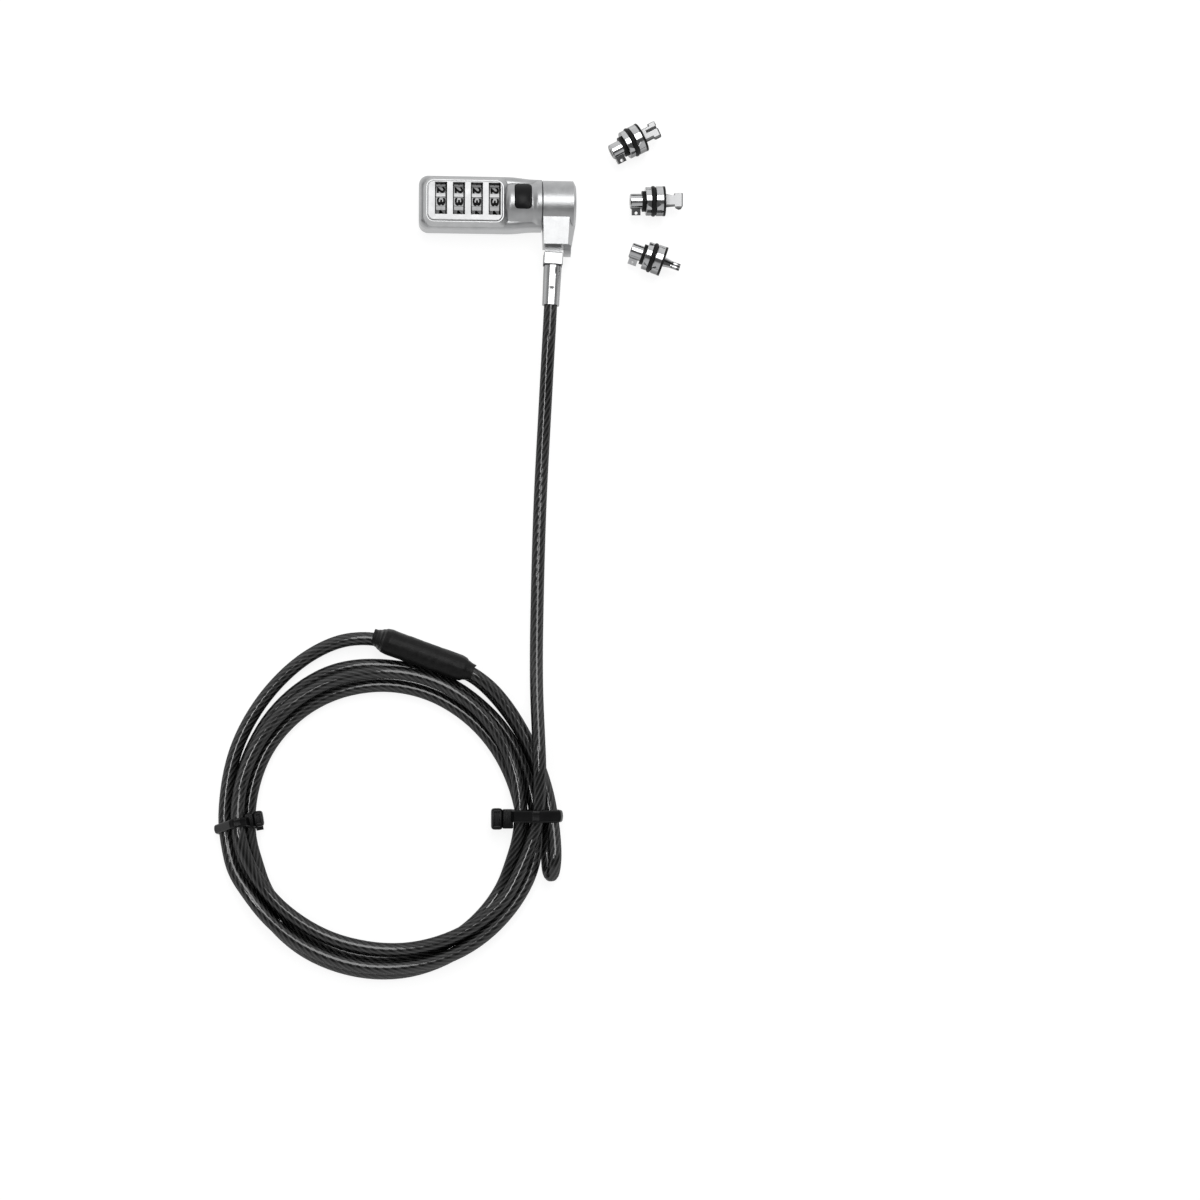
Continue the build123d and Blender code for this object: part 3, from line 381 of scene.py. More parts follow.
nylon = moulded("black_nylon", (0.0035, 0.0035, 0.0038), 0.32, grain=3200, depth=0.000015, spec=0.20)
ink = moulded("digit_paint", (0.004, 0.004, 0.004), 0.5, spec=0.08)


def shrink_material():
    """Shrunk polyolefin tube: satin black with a cloudy tone, cloudy roughness and a fine bumpy skin."""
    g = Graph("heat_shrink")
    cloud = g.noise(520, 5, 0.6)
    fine = g.noise(4200, 3, 0.6)
    base = g.ramp(g.span(cloud, 0.3, 0.72), [(0.0, 0.004), (1.0, 0.010)])
    g.set(color=base, rough=g.span(cloud, 0.3, 0.7, 0.34, 0.48), spec=0.16,
          normal=g.bump(g.math("ADD", g.math("MULTIPLY", cloud, 0.8), g.math("MULTIPLY", fine, 0.2)), 0.00022, 0.6))
    return g.mat


def cable_material():
    """Steel strands seen through a smoke-black sleeve, with painted shade down the sides. U runs round the strands, V
    counts lays.
    """
    g = Graph("coated_wire_rope")
    sep = g.nt.nodes.new("ShaderNodeSeparateXYZ")
    g.put(sep.inputs[0], g.coord.outputs["UV"])
    u, v = sep.outputs[0], sep.outputs[1]
    strand = g.math("MULTIPLY", u, 10.0)
    local = g.math("FRACT", strand)
    crown = g.math("SINE", g.math("MULTIPLY", local, math.pi))               # 0 in the valleys, 1 on the crowns
    wires = g.math("FRACT", g.math("SUBTRACT", g.math("MULTIPLY", local, 3.0), g.math("MULTIPLY", v, 26.0)))
    wire = g.math("SINE", g.math("MULTIPLY", wires, math.pi))
    per = g.nt.nodes.new("ShaderNodeTexNoise")
    per.noise_dimensions = "2D"
    vec = g.nt.nodes.new("ShaderNodeCombineXYZ")
    g.put(vec.inputs[0], g.math("FLOOR", strand))
    g.put(vec.inputs[1], g.math("MULTIPLY", v, 2.3))
    g.put(per.inputs["Vector"], vec.outputs[0])
    per.inputs["Scale"].default_value = 1.3
    tone = g.ramp(g.math("POWER", crown, 1.3), [(0.0, 0.002), (0.35, 0.006), (0.75, 0.024), (1.0, 0.068)])
    tone = g.mix(1.0, tone, g.ramp(wire, [(0.0, 0.55), (0.6, 0.95), (1.0, 1.0)]), "MULTIPLY")
    tone = g.mix(1.0, tone, g.ramp(g.span(per.outputs[0], 0.3, 0.7), [(0.0, 0.55), (1.0, 1.0)]), "MULTIPLY")
    # painted shade: the colour darkens down the rope's sides
    tone = g.mix(1.0, tone, g.rim([(0.0, 1.0), (0.30, 0.95), (0.62, 0.50), (1.0, 0.28)]), "MULTIPLY")
    h = g.math("ADD", g.math("MULTIPLY", crown, 1.0), g.math("MULTIPLY", wire, 0.25))
    skin = g.noise(900, 2, 0.5)
    g.set(color=tone, metal=0.15, rough=0.5, spec=0.05, normal=g.bump(h, 0.00018, 0.8),
          coat=g.rim([(0.0, 1.0), (0.15, 0.85), (0.45, 0.25), (1.0, 0.10)]), coat_rough=0.09,
          coat_normal=g.bump(skin, 0.00002, 0.3))
    g.bsdf.inputs["Coat IOR"].default_value = 1.6
    return g.mat


shrink_mat = shrink_material()
cable_mat = cable_material()

# ------------------------------------------------------------------ CAD nodes keep their shape and get a finish
FINISH = {
    satin: ["upper_housing", "base_plate", "collar_arm"],
    plate_mat: ["dial_plate"],
    ferrule_mat: ["ferrule"],
    dial_mat: ["dial_1", "dial_2", "dial_3", "dial_4"],
    t_hook_mat: ["tip_t_bar_hook"],
    slim_hook_mat: ["tip_slim_hook"],
    wedge_mat: ["tip_wedge_hook"],
    brass: ["code_ring_1", "code_ring_2", "code_ring_3", "code_ring_4"],
    steel: ["base_screws", "spindle", "cam_pin", "detent_comb", "button_springs", "retaining_ring", "hinge_pin", "crimp_sleeve"],
    chrome: ["socket_barrel"] + [f"tip_{t}_{p}" for t in ("t_bar", "slim", "wedge") for p in ("body", "leaf")],
    button_mat: ["release_button"],
    rubber: [f"tip_{t}_{p}" for t in ("t_bar", "slim", "wedge") for p in ("o_ring", "washer", "gasket")],
    cable_mat: ["cable_run", "cable_tail", "cable_loop", "cable_coil"],
    shrink_mat: ["heat_shrink"],
    nylon: ["cable_tie_left", "cable_tie_right"],
}
for material, names in FINISH.items():
    for n in names:
        ob = bpy.data.objects[n]
        for slot in ob.material_slots:
            slot.material = material

# ------------------------------------------------------------------ the cable: one line from the ferrule to the end of its loop
RUN = [(22.93, -27.49, 8.4), (22.27, -40.67, 8.4), (21.6, -54.0, 7.0), (21.0, -67.5, 4.8), (20.3, -82.0, 3.1),
       (19.5, -98.0, 2.45), (18.85, -117.0, 2.35), (18.4, -137.0, 2.5), (18.05, -154.0, 4.6), (18.0, -167.5, 8.7),
       (18.45, -180.5, 12.3), (18.95, -192.5, 12.8), (18.9, -203.0, 11.5), (18.2, -213.0, 9.6)]
COIL = [
    (9.8, -233.0, 8.90), (4.2, -239.4, 8.69), (-2.4, -244.6, 8.45), (-9.7, -248.4, 8.03), (-17.3, -251.0, 7.71),
    (-25.1, -252.4, 7.48), (-32.9, -252.5, 7.18), (-40.5, -251.5, 7.02), (-48.0, -249.6, 7.11), (-55.1, -246.6, 7.34),
    (-61.8, -242.5, 7.60), (-68.0, -237.5, 7.75), (-73.4, -231.4, 7.75), (-77.7, -224.3, 8.58), (-80.7, -216.4, 9.86),
    (-81.9, -208.0, 9.16), (-81.3, -199.5, 7.93), (-79.1, -191.3, 7.70), (-75.5, -183.6, 7.63), (-70.7, -176.6, 7.41),
    (-64.7, -170.6, 7.07), (-57.8, -165.8, 6.65), (-50.1, -162.2, 6.44), (-41.8, -160.1, 6.75), (-33.4, -159.4, 7.17),
    (-24.9, -160.2, 7.36), (-16.7, -162.5, 7.45), (-9.1, -166.3, 7.51), (-2.3, -171.4, 7.46), (3.3, -177.6, 7.22),
    (7.8, -184.6, 7.02), (10.9, -192.3, 7.29), (12.6, -200.3, 7.69), (12.9, -208.3, 7.70), (12.0, -216.3, 7.10),
    (9.7, -224.0, 5.61), (7.1, -231.5, 3.86), (2.7, -238.4, 3.30), (-2.9, -244.4, 3.31), (-9.3, -249.2, 3.32),
    (-16.8, -252.9, 3.32), (-24.8, -254.9, 3.32), (-32.9, -255.6, 3.32), (-41.1, -254.8, 3.32), (-49.0, -252.6, 3.32),
    (-56.5, -248.9, 3.32), (-63.1, -244.2, 3.32), (-68.9, -238.3, 3.32), (-73.2, -231.4, 3.32), (-75.7, -223.7, 3.32),
    (-78.0, -216.1, 3.32), (-78.5, -208.2, 3.32), (-77.7, -200.4, 3.32), (-75.7, -192.8, 3.32), (-72.5, -185.6, 3.32),
    (-67.9, -179.2, 3.32), (-62.3, -173.7, 3.32), (-55.8, -169.3, 3.32), (-48.7, -166.2, 3.32), (-41.2, -164.4, 3.32),
    (-33.4, -163.8, 3.32), (-25.7, -164.6, 3.32), (-18.2, -166.7, 3.32), (-11.3, -170.1, 3.32), (-5.0, -174.5, 3.32),
    (0.6, -179.9, 3.32), (5.3, -186.1, 3.32), (9.0, -193.0, 3.32), (11.8, -200.5, 3.32), (13.6, -208.4, 3.32),
    (14.3, -216.8, 3.32), (13.3, -225.3, 3.32), (10.4, -233.5, 3.32), (6.0, -241.1, 3.32), (0.0, -247.7, 3.32),
    (-7.1, -253.1, 3.32), (-15.1, -257.2, 3.32), (-23.8, -259.9, 3.32), (-32.9, -260.7, 3.32), (-42.0, -259.8, 3.32),
    (-50.8, -257.3, 3.32), (-59.0, -253.4, 3.32), (-66.2, -247.9, 3.32), (-72.2, -241.1, 3.31), (-76.7, -233.4, 3.32),
    (-79.6, -225.1, 4.21), (-81.6, -216.7, 5.52), (-82.6, -208.1, 4.75), (-82.1, -199.5, 3.51), (-79.9, -191.2, 3.30),
    (-76.6, -183.2, 3.32), (-72.2, -175.6, 3.32), (-66.4, -168.9, 3.32), (-59.4, -163.3, 3.32), (-51.3, -159.1, 3.32),
    (-42.5, -157.2, 3.32), (-33.4, -157.2, 3.32), (-24.6, -158.3, 3.32), (-16.1, -160.9, 3.32), (-8.3, -164.9, 3.32),
    (-1.3, -170.1, 3.32), (5.0, -176.2, 3.32), (10.1, -183.4, 3.32), (13.9, -191.3, 3.31), (16.7, -199.7, 3.34),
    (18.2, -208.5, 3.90), (18.4, -217.5, 4.89), (16.7, -226.6, 5.60), (12.6, -234.8, 6.50), (7.1, -242.0, 7.33),
    (0.5, -248.2, 7.70), (-7.0, -253.0, 7.79), (-15.3, -256.3, 7.72), (-24.1, -258.1, 7.58), (-32.8, -258.6, 7.51),
    (-41.6, -257.8, 7.51), (-50.0, -255.5, 7.55), (-58.2, -251.9, 7.65), (-65.6, -247.2, 7.77), (-72.3, -241.1, 7.79),
    (-77.8, -234.1, 7.13), (-83.2, -226.4, 5.08), (-85.4, -217.4, 3.80), (-86.6, -208.2, 3.51),
]
TAIL = [(-85.1, -193.3, 3.4), (-81.5, -181.5, 3.4), (-75.3, -170.4, 3.4), (-67.6, -161.1, 3.5), (-58.8, -153.8, 3.7),
        (-48.8, -148.9, 3.9), (-39.4, -147.9, 4.0), (-33.0, -149.2, 4.0)]
IN_SLEEVE = [(-24.7, -152.0, 4.0), (-16.0, -155.2, 4.0)]
LOOP_BACK = [(-7.8, -158.9, 4.0), (-3.0, -161.1, 3.6), (2.4, -165.6, 2.9), (8.6, -172.9, 2.4), (14.2, -181.6, 2.4),
             (18.55, -191.0, 2.5), (21.4, -200.5, 3.0), (22.7, -209.2, 3.3), (22.3, -216.0, 2.9), (22.0, -222.4, 2.6),
             (22.4, -227.6, 4.4), (23.5, -228.0, 8.7), (24.2, -222.6, 10.8), (24.1, -216.6, 9.4), (23.4, -209.4, 8.3),
             (21.8, -200.3, 7.8), (18.7, -190.5, 7.3), (14.5, -181.4, 7.1), (9.2, -172.5, 7.2), (3.3, -165.2, 7.7),
             (-2.5, -160.7, 8.5), (-6.8, -158.5, 8.65), (-16.0, -155.2, 8.65), (-24.7, -152.0, 8.65)]
CABLE_D = 4.5
LAY = 30.0
STRANDS = 10


def spline_line(points):
    cu = bpy.data.curves.new("cable_line", "CURVE")
    cu.dimensions = "3D"
    sp = cu.splines.new("NURBS")
    sp.points.add(len(points) - 1)
    for p, q in zip(sp.points, points):
        p.co = (q[0] * MM, q[1] * MM, q[2] * MM, 1.0)
    sp.order_u = 3
    sp.use_endpoint_u = True
    sp.resolution_u = 16
    ob = bpy.data.objects.new("cable_line", cu)
    me = bpy.data.meshes.new_from_object(ob)
    line = [v.co.copy() for v in me.vertices]
    bpy.data.objects.remove(ob)
    bpy.data.curves.remove(cu)
    bpy.data.meshes.remove(me)
    return line


def even(line, step):
    """The same line with evenly spaced points."""
    acc = [0.0]
    for a, b in zip(line, line[1:]):
        acc.append(acc[-1] + (b - a).length)
    n = max(2, round(acc[-1] / step))
    out, j = [], 0
    for i in range(n + 1):
        s = acc[-1] * i / n
        while j < len(line) - 2 and acc[j + 1] < s:
            j += 1
        t = (s - acc[j]) / max(1e-12, acc[j + 1] - acc[j])
        out.append(line[j].lerp(line[j + 1], min(1, max(0, t))))
    return out, acc[-1]


def frames_along(line):
    """Tangent, and two directions across it that don't spin about it."""
    tan = []
    for i in range(len(line)):
        a, b = line[max(0, i - 1)], line[min(len(line) - 1, i + 1)]
        tan.append((b - a).normalized())
    n = Vector((0, 0, 1))
    n = (n - tan[0] * n.dot(tan[0])).normalized()
    out = []
    for t in tan:
        n = (n - t * n.dot(t)).normalized()
        out.append((t, n.copy(), t.cross(n)))
    return out


def lobe(phase, deep):
    """Radius factor round the strands under a tight sleeve."""
    x = abs(((phase * STRANDS) % 1.0) - 0.5) * 2       # 0 on a crown, 1 in a valley
    return 1.0 - deep * (x ** 2.2)


def make_cable(points):
    line, length = even(spline_line(points), 0.0011)
    fr = frames_along(line)
    sides = 60
    verts, uvs, faces = [], [], []
    s = 0.0
    for i, (p, (t, n, b)) in enumerate(zip(line, fr)):
        if i:
            s += (line[i] - line[i - 1]).length
        twist = 2 * math.pi * s / (LAY * MM)
        for j in range(sides):
            a = 2 * math.pi * j / sides + twist
            r = CABLE_D / 2 * MM * lobe(j / sides, 0.007)
            verts.append(p + n * math.cos(a) * r + b * math.sin(a) * r)
    for i in range(len(line) - 1):
        v0 = i * length / (len(line) - 1) / (LAY * MM)
        v1 = (i + 1) * length / (len(line) - 1) / (LAY * MM)
        for j in range(sides):
            k = (j + 1) % sides
            faces.append((i * sides + j, i * sides + k, (i + 1) * sides + k, (i + 1) * sides + j))
            u0, u1 = j / sides, (j + 1) / sides
            uvs.append([(u0, v0), (u1, v0), (u1, v1), (u0, v1)])
    for ring, flip in ((0, True), (len(line) - 1, False)):
        mid = len(verts)
        verts.append(line[ring])
        for j in range(sides):
            k = (j + 1) % sides
            a, c = ring * sides + j, ring * sides + k
            faces.append((mid, c, a) if flip else (mid, a, c))
            uvs.append([(0.5, 0), (j / sides, 0), (j / sides, 0)])
    ob = new_object("wire_rope", verts, faces, uvs=uvs)
    ob.data.materials.append(cable_mat)
    return ob, line, length


rope, rope_line, rope_length = make_cable(RUN + COIL + TAIL + IN_SLEEVE + LOOP_BACK)
print("rope length", round(rope_length, 4))
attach(rope, "cable")
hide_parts("cable_run", "cable_coil", "cable_tail", "cable_loop")

# ------------------------------------------------------------------ heat-shrink over the crimp
SL_A, SL_B = Vector((-33.8, -148.7, 6.3)), Vector((-6.8, -158.5, 6.3))
sl_dir = (SL_B - SL_A).normalized()
sl_side = Vector((0, 0, 1)).cross(sl_dir).normalized()
SL_LEN = (SL_B - SL_A).length


def oval(height, width, k):
    """Point of a stadium that stands up: height by width, k from 0 to 1 round it."""
    r = width / 2
    straight = height - width
    per = 2 * straight + 2 * math.pi * r
    s = k * per
    if s < straight / 2:
        return r, s
    s -= straight / 2
    if s < math.pi * r:
        a = s / r
        return r * math.cos(a), straight / 2 + r * math.sin(a)
    s -= math.pi * r
    if s < straight:
        return -r, straight / 2 - s
    s -= straight
    if s < math.pi * r:
        a = s / r
        return -r * math.cos(a), -straight / 2 - r * math.sin(a)
    s -= math.pi * r
    return r, -straight / 2 + s


def make_shrink():
    st = [  # distance, height, width, centre height
        (-3.7, 5.5, 5.4, 4.0), (-2.8, 5.7, 5.5, 4.05), (-1.7, 6.6, 6.1, 4.6), (-0.5, 8.9, 7.3, 5.6), (0.8, 10.6, 8.4, 6.15),
        (2.4, 11.2, 8.8, 6.3), (6.0, 11.2, 8.75, 6.3), (12.0, 11.2, 8.75, 6.3), (18.0, 11.2, 8.75, 6.3), (23.0, 11.2, 8.75, 6.3),
        (27.0, 11.2, 8.8, 6.3), (28.6, 10.9, 8.2, 6.3), (30.0, 10.3, 6.7, 6.3), (31.2, 10.0, 5.8, 6.3), (32.4, 9.95, 5.5, 6.35)]
    n_len, n_round = 150, 72
    rows = []
    for i in range(n_len + 1):
        d = st[0][0] + (st[-1][0] - st[0][0]) * i / n_len
        for a, b in zip(st, st[1:]):
            if a[0] <= d <= b[0] + 1e-9:
                t = (d - a[0]) / (b[0] - a[0])
                t = t * t * (3 - 2 * t) if abs(a[1] - b[1]) > 0.4 else t
                h, w, z = (a[q] + (b[q] - a[q]) * t for q in (1, 2, 3))
                break
        rows.append((d, h, w, z))
    outer, inner = [], []
    for d, h, w, z in rows:
        c = SL_A + sl_dir * d
        edge = min(d - st[0][0], st[-1][0] - d)
        for j in range(n_round):
            k = j / n_round
            x, y = oval(h, w, k)
            ang = 2 * math.pi * k
            # drag wrinkles, strongest on the shoulders
            shoulder = math.exp(-((d - 1.0) / 2.6) ** 2) + math.exp(-((d - 27.2) / 2.6) ** 2)
            q = Vector((math.cos(ang) * 2.2, math.sin(ang) * 2.2, d * 0.28))
            wob = 0.07 * noise.noise(q) + 0.05 * noise.noise(Vector((math.cos(ang) * 6, math.sin(ang) * 6, d * 0.16)))
            wob += shoulder * 0.13 * (0.5 * math.sin(ang * 9 + 2.1 * noise.noise(q * 1.4)) - 0.3)
            # crimp bands pressed through
            for cpos in (7.5, 13.6, 19.7):
                wob -= 0.07 * math.exp(-((d - cpos) / 0.9) ** 2) * (0.6 + 0.4 * math.cos(2 * ang))
            ragged = 0.45 * noise.noise(Vector((math.cos(ang) * 1.6, math.sin(ang) * 1.6, 7.0 if d > 10 else 3.0)))
            shift = ragged * max(0.0, 1 - edge / 2.0) * (1 if d > 10 else -1)
            for out, dr in ((outer, wob), (inner, wob - 0.45)):
                rad = Vector((x, y))
                rad = rad * (1 + dr / max(2.0, rad.length))
                pos = c + sl_dir * shift + sl_side * rad.x + Vector((0, 0, z - 6.3 + rad.y))
                pos.z = max(pos.z, 0.35)
                out.append(pos * MM)
    n = len(rows)
    verts = outer + inner
    faces = [tuple(reversed(f)) for f in grid_faces(n, n_round)]
    off = n * n_round
    faces += [tuple(v + off for v in f) for f in grid_faces(n, n_round)]
    for j in range(n_round):
        k = (j + 1) % n_round
        faces.append((j, k, off + k, off + j))
        a = (n - 1) * n_round
        faces.append((a + k, a + j, off + a + j, off + a + k))
    ob = new_object("shrink_sleeve", verts, faces)
    bm = bmesh.new()
    bm.from_mesh(ob.data)
    bmesh.ops.recalc_face_normals(bm, faces=bm.faces)
    bm.to_mesh(ob.data)
    bm.free()
    sharp_by_angle(ob, 60)
    ob.data.materials.append(shrink_mat)
    return ob


sleeve = make_shrink()
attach(sleeve, "cable")
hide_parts("heat_shrink")

# ------------------------------------------------------------------ cable ties
STRAP_T = 0.95


def rounded_box(bm, centre, size, axes, bevel, seg=3):
    geom = bmesh.ops.create_cube(bm, size=1.0)
    vs = geom["verts"]
    m = Matrix((axes[0] * size[0], axes[1] * size[1], axes[2] * size[2])).transposed()
    for v in vs:
        v.co = centre + m @ v.co
    edges = list({e for v in vs for e in v.link_edges})
    return bmesh.ops.bevel(bm, geom=edges, offset=bevel, segments=seg, affect="EDGES", profile=0.6)


def make_tie(name, origin, ax, ay, az, inner, strap_w, head_at, head_size, shift, side, lean, stub):
    """Moulded tie: strap round the bundle, head with a framed slot, ribbed tongue, cut tail.
    ax, ay lie in the strap's plane, az along the bundle; side is where the head's open face points along ax."""
    def world(x, y, w):
        return (origin + ax * x + ay * y + az * (w + lean * (10.0 - y) * 0.1)) * MM

    n = len(inner)
    area = sum(inner[i][0] * inner[(i + 1) % n][1] - inner[(i + 1) % n][0] * inner[i][1] for i in range(n))
    sgn = 1 if area > 0 else -1
    ring = []        # (point, outward normal)
    for i in range(n):
        p0, p1, p2 = (Vector(inner[(i + k) % n]) for k in (-1, 0, 1))
        d0, d1 = (p1 - p0).normalized(), (p2 - p1).normalized()
        n0, n1 = Vector((d0.y, -d0.x)) * sgn, Vector((d1.y, -d1.x)) * sgn
        steps = 5
        for k in range(steps + 1):
            q = (n0 * (1 - k / steps) + n1 * (k / steps)).normalized()
            ring.append((p1, q))
    # more points along the straight stretches
    dense = []
    for (p, q), (p2, q2) in zip(ring, ring[1:] + ring[:1]):
        dense.append((p, q))
        gap = (p2 - p).length
        for k in range(1, int(gap / 0.5) + 1):
            t = k / (int(gap / 0.5) + 1)
            dense.append((p.lerp(p2, t), q.lerp(q2, t).normalized()))
    sec = [(0.04, -0.40), (0.04, 0.40), (0.16, 0.47), (0.36, 0.5), (0.60, 0.5), (0.78, 0.46), (0.86, 0.36), (0.80, 0.22),
           (0.78, 0.0), (0.80, -0.22), (0.86, -0.36), (0.78, -0.46), (0.60, -0.5), (0.36, -0.5), (0.16, -0.47)]
    verts = []
    for i, (p, q) in enumerate(dense):
        for (t, w) in sec:
            far = max(0.0, -side * q.x - 0.4) / 0.6        # the strap bows where it turns down at its far end
            d = t * STRAP_T / 0.86 + far * (0.35 - 2.2 * w * w)
            verts.append(world(p.x + q.x * d, p.y + q.y * d, w * strap_w))
    faces = grid_faces(len(dense), len(sec), close_rows=True)
    bm = bmesh.new()
    bvs = [bm.verts.new(v) for v in verts]
    for f in faces:
        bm.faces.new([bvs[i] for i in f])
    hx, hy = head_at
    sx, sy, sw = head_size

    def box(x, y, w, dx, dy, dw, bevel, seg=2):
        rounded_box(bm, (origin + ax * x + ay * y + az * (w + shift)) * MM, (dx * MM, dy * MM, dw * MM), (ax, ay, az), bevel * MM, seg)

    mouth = hx + side * 0.23 * sx           # centre of the head's block
    neck = hx - side * 0.28 * sx            # centre of its ribbed neck
    box(mouth, hy - 0.2, 0, 0.54 * sx, sy - 0.4, sw, 1.3, 6)
    # rim round the slot that shows at the top
    top = hy + sy / 2 - 0.35
    for w in (-1, 1):
        box(mouth, top, w * (sw / 2 - 0.95), 0.54 * sx - 1.5, 0.7, 0.7, 0.2)
    for k in (-1, 1):
        box(mouth + k * (0.27 * sx - 0.75), top, 0, 0.62, 0.7, sw - 1.7, 0.22)
    box(mouth - side * 0.1 * sx, top - 0.1, 0, 0.42, 0.5, sw * 0.5, 0.12)
    # neck and its grip ribs
    box(neck, hy - 0.45, 0, 0.50 * sx, sy - 0.9, sw * 0.90, 0.5, 3)
    for k in range(4):
        box(neck + (k - 1.5) * 0.11 * sx, hy + sy / 2 - 0.75, 0, 0.36, 0.55, sw * 0.78, 0.14)
    # cut tail with its ribs
    x0, y0, w0, ln, hgt, wid = stub
    box(x0, y0, w0, ln, hgt, wid, 0.18)
    k = -ln / 2 + 0.3
    while k < ln / 2 - 0.2:
        box(x0 + k, y0 + hgt / 2 + 0.1, w0, 0.32, 0.3, wid * 0.7, 0.08, 1)
        k += 0.66
    bmesh.ops.recalc_face_normals(bm, faces=bm.faces)
    me = bpy.data.meshes.new(name)
    bm.to_mesh(me)
    bm.free()
    ob = bpy.data.objects.new(name, me)
    scene.collection.objects.link(ob)
    sharp_by_angle(ob, 40)
    me.materials.append(nylon)
    return ob


tie_right = make_tie("tie_strap_right", Vector((0, -208.0, 0)), Vector((1, 0, 0)), Vector((0, 0, 1)), Vector((0, -1, 0)),
                     [(10.2, 1.0), (24.4, 1.0), (25.3, 2.2), (25.8, 8.4), (25.2, 10.0), (18.6, 13.4), (16.7, 13.4), (11.2, 9.9), (10.2, 8.4)],
                     4.1, (6.4, 6.6), (7.2, 5.6, 7.2), 0.95, -1, 0.0, (5.6, 2.9, 0.6, 4.6, 1.1, 3.6))
tl = math.radians(-9.5)
tie_left = make_tie("tie_strap_left", Vector((-76.2, -209.3, 0)), Vector((math.cos(tl), -math.sin(tl), 0)), Vector((0, 0, 1)),
                    Vector((-math.sin(tl), -math.cos(tl), 0)),
                    [(-12.7, 4.4), (-12.3, 1.6), (-11.5, 1.0), (-1.0, 1.0), (0.1, 1.7), (0.3, 3.8), (-3.2, 11.2), (-4.6, 12.0), (-6.2, 12.0), (-7.2, 11.3)],
                    3.0, (0.1, 8.0), (6.0, 4.2, 5.3), -0.4, 1, 1.5, (1.2, 5.0, 2.6, 2.4, 1.0, 2.6))
for t, node in ((tie_right, "cable_tie_right"), (tie_left, "cable_tie_left")):
    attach(t, "cable")
    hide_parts(node)

# ------------------------------------------------------------------ dial numbers
AXIS_Z = 8.4
FACET = 6.65


def make_digits(index, xc):
    bm = bmesh.new()
    for k in range(10):
        cu = bpy.data.curves.new("digit", "FONT")
        cu.body = str((2 + k) % 10)
        cu.size = 3.6 * MM
        cu.align_x = "CENTER"
        cu.align_y = "CENTER"
        cu.offset = 0.17 * MM
        cu.extrude = 0.012 * MM
        cu.resolution_u = 6
        tmp = bpy.data.objects.new("digit", cu)
        me = bpy.data.meshes.new_from_object(tmp)
        a = math.radians(-18 - DIAL_PHASE + 36 * k)
        nrm = Vector((0, -math.sin(a), math.cos(a)))
        right = Vector((0, -math.cos(a), -math.sin(a)))
        up = Vector((1, 0, 0))
        ys = [v.co.y for v in me.vertices]
        xs = [v.co.x for v in me.vertices]
        cy, cx = (min(ys) + max(ys)) / 2, (min(xs) + max(xs)) / 2
        for v in me.vertices:
            c = v.co
            v.co = (Vector((xc, 0, AXIS_Z)) + nrm * (FACET + 0.012)) * MM + right * (c.x - cx) * 1.62 + up * (c.y - cy) + nrm * c.z
        bm.from_mesh(me)
        bpy.data.objects.remove(tmp)
        bpy.data.curves.remove(cu)
        bpy.data.meshes.remove(me)
    bmesh.ops.recalc_face_normals(bm, faces=bm.faces)
    me = bpy.data.meshes.new(f"dial_numbers_{index}")
    bm.to_mesh(me)
    bm.free()
    ob = bpy.data.objects.new(me.name, me)
    scene.collection.objects.link(ob)
    me.materials.append(ink)
    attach(ob, f"dial_{index}_wheel")
    return ob


for i in range(4):
    make_digits(i + 1, -14.9 + 6.05 * i)

# ------------------------------------------------------------------ floor, light, camera
g = Graph("studio_floor")
g.set(color=g.ramp(g.span(g.noise(2.0, 2), 0.3, 0.7), [(0.0, 0.24), (1.0, 0.26)]), rough=0.9, spec=0.0)
g.bsdf.inputs["Emission Color"].default_value = (1, 1, 1, 1)
g.bsdf.inputs["Emission Strength"].default_value = 0.84
fl = new_object("studio_floor", [(-3, -3, -0.0002), (3, -3, -0.0002), (3, 3, -0.0002), (-3, 3, -0.0002)], [(0, 1, 2, 3)])
fl.data.materials.append(g.mat)


def soft_box(name, at, aim, size_x, size_y, radiance):
    li = bpy.data.lights.new(name, "AREA")
    li.shape = "RECTANGLE"
    li.size, li.size_y = size_x, size_y
    li.energy = radiance * math.pi * size_x * size_y
    ob = bpy.data.objects.new(name, li)
    scene.collection.objects.link(ob)
    d = (Vector(aim) - Vector(at)).normalized()
    x = Vector((1, 0, 0))
    y = -d.cross(x).normalized() * -1
    z = -d
    y = z.cross(x).normalized()
    x = y.cross(z).normalized()
    ob.matrix_world = Matrix((x, y, z)).transposed().to_4x4()
    ob.location = at
    ob.visible_camera = False
    return ob


soft_box("key_box", (0.13, 0.385, 1.30), (0.0, -0.08, 0.0), 0.62, 0.87, 4.2)
soft_box("strip_box", (-0.425, -0.14, 1.30), (-0.10, -0.10, 0.0), 0.25, 0.30, 8.0)

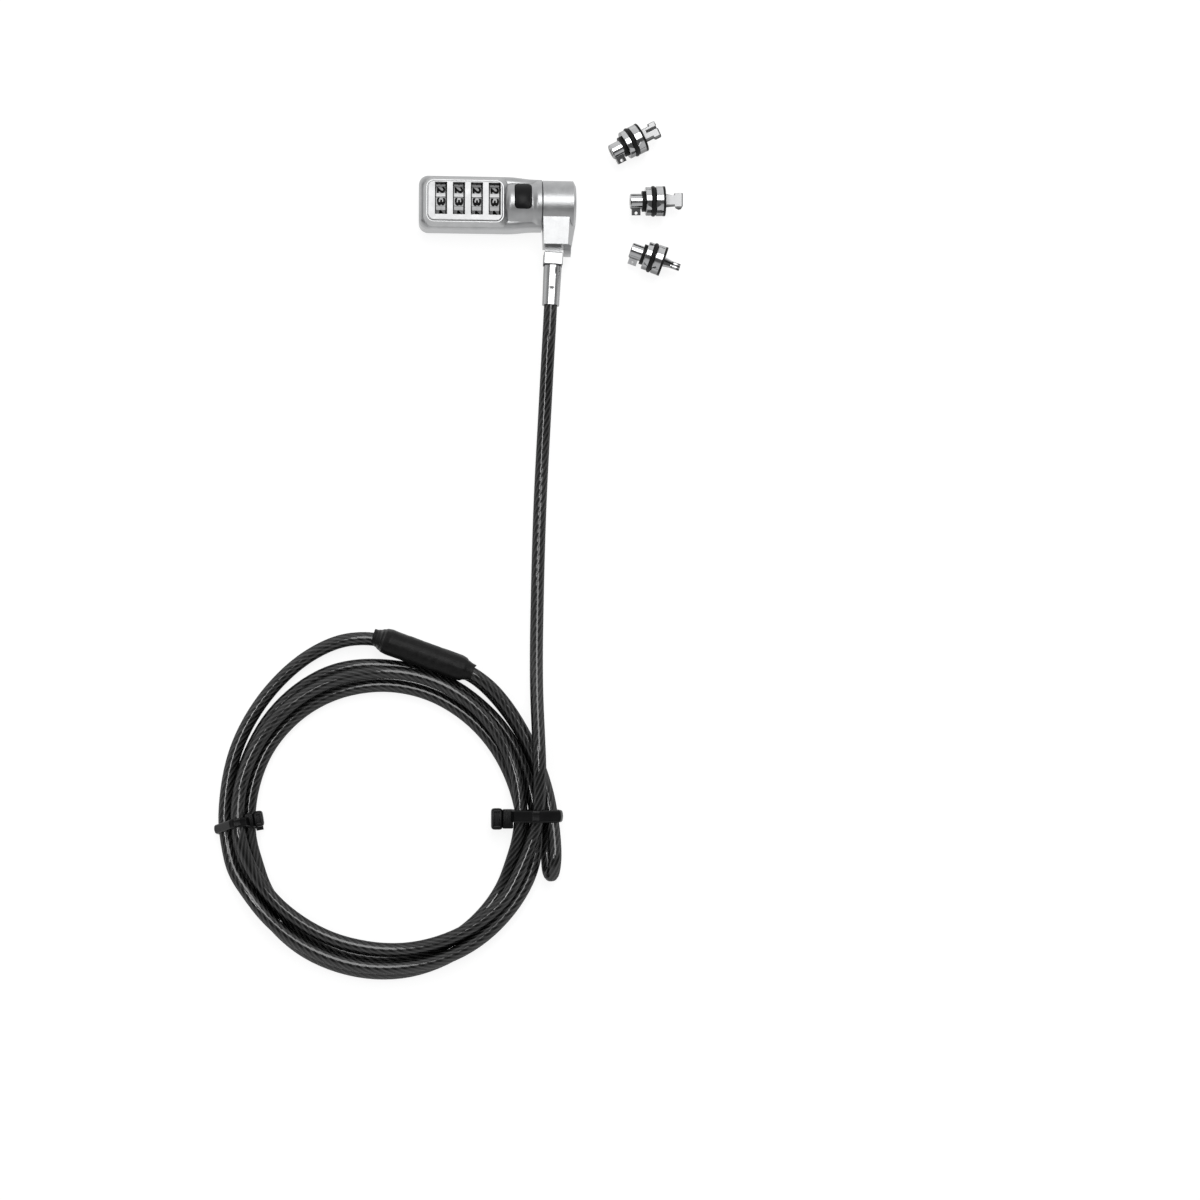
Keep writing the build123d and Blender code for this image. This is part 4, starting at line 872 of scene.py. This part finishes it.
world = bpy.data.worlds.new("studio")
scene.world = world
world.use_nodes = True
nt = world.node_tree
nt.nodes.clear()
w_out = nt.nodes.new("ShaderNodeOutputWorld")
w_bg = nt.nodes.new("ShaderNodeBackground")
nt.links.new(w_bg.outputs[0], w_out.inputs[0])
tc = nt.nodes.new("ShaderNodeTexCoord")
sx = nt.nodes.new("ShaderNodeSeparateXYZ")
nt.links.new(tc.outputs["Generated"], sx.inputs[0])
at2 = nt.nodes.new("ShaderNodeMath")
at2.operation = "ARCTAN2"
neg = nt.nodes.new("ShaderNodeMath")
neg.operation = "MULTIPLY"
neg.inputs[1].default_value = -1.0
nt.links.new(sx.outputs[1], neg.inputs[0])
nt.links.new(neg.outputs[0], at2.inputs[0])
nt.links.new(sx.outputs[2], at2.inputs[1])
mr = nt.nodes.new("ShaderNodeMapRange")
nt.links.new(at2.outputs[0], mr.inputs[0])
mr.inputs[1].default_value, mr.inputs[2].default_value = math.radians(-90), math.radians(90)
ramp = nt.nodes.new("ShaderNodeValToRGB")
nt.links.new(mr.outputs[0], ramp.inputs[0])
stops = [(0.0, 0.95), (0.14, 0.95), (0.26, 0.85), (0.33, 0.45), (0.52, 0.28), (0.545, 0.10), (0.65, 0.12), (0.71, 0.60), (0.85, 0.75), (1.0, 0.80)]
el = ramp.color_ramp.elements
while len(el) < len(stops):
    el.new(0.5)
for e, (p, c) in zip(el, stops):
    e.position = p
    e.color = (c, c, c * 1.005, 1)
side = nt.nodes.new("ShaderNodeMath")
side.operation = "ABSOLUTE"
nt.links.new(sx.outputs[0], side.inputs[0])
fade = nt.nodes.new("ShaderNodeValToRGB")
nt.links.new(side.outputs[0], fade.inputs[0])
for e, (p, c) in zip((fade.color_ramp.elements[0], fade.color_ramp.elements[1], fade.color_ramp.elements.new(0.3)),
                     ((0.0, 1.0), (0.65, 0.42), (0.3, 0.95))):
    e.position = p
    e.color = (c, c, c, 1)
both = nt.nodes.new("ShaderNodeMix")
both.data_type = "RGBA"
both.blend_type = "MULTIPLY"
both.inputs[0].default_value = 1.0
nt.links.new(ramp.outputs[0], both.inputs[6])
nt.links.new(fade.outputs[0], both.inputs[7])
nt.links.new(both.outputs[2], w_bg.inputs[0])
w_bg.inputs[1].default_value = 1.0

cam = bpy.data.cameras.new("view_camera")
cam_ob = bpy.data.objects.new("view_camera", cam)
scene.collection.objects.link(cam_ob)
cam.sensor_fit = "HORIZONTAL"
cam.angle = math.radians(28.710)
cam.clip_start, cam.clip_end = 0.01, 20
C, T = Vector((-0.020345, -0.181034, 0.800)), Vector((0.040112, -0.134526, 0.0))
d = (T - C).normalized()
x = d.cross(Vector((0, 1, 0))).normalized()
y = x.cross(d).normalized()
cam_ob.matrix_world = Matrix((x, y, -d)).transposed().to_4x4()
cam_ob.location = C
scene.camera = cam_ob
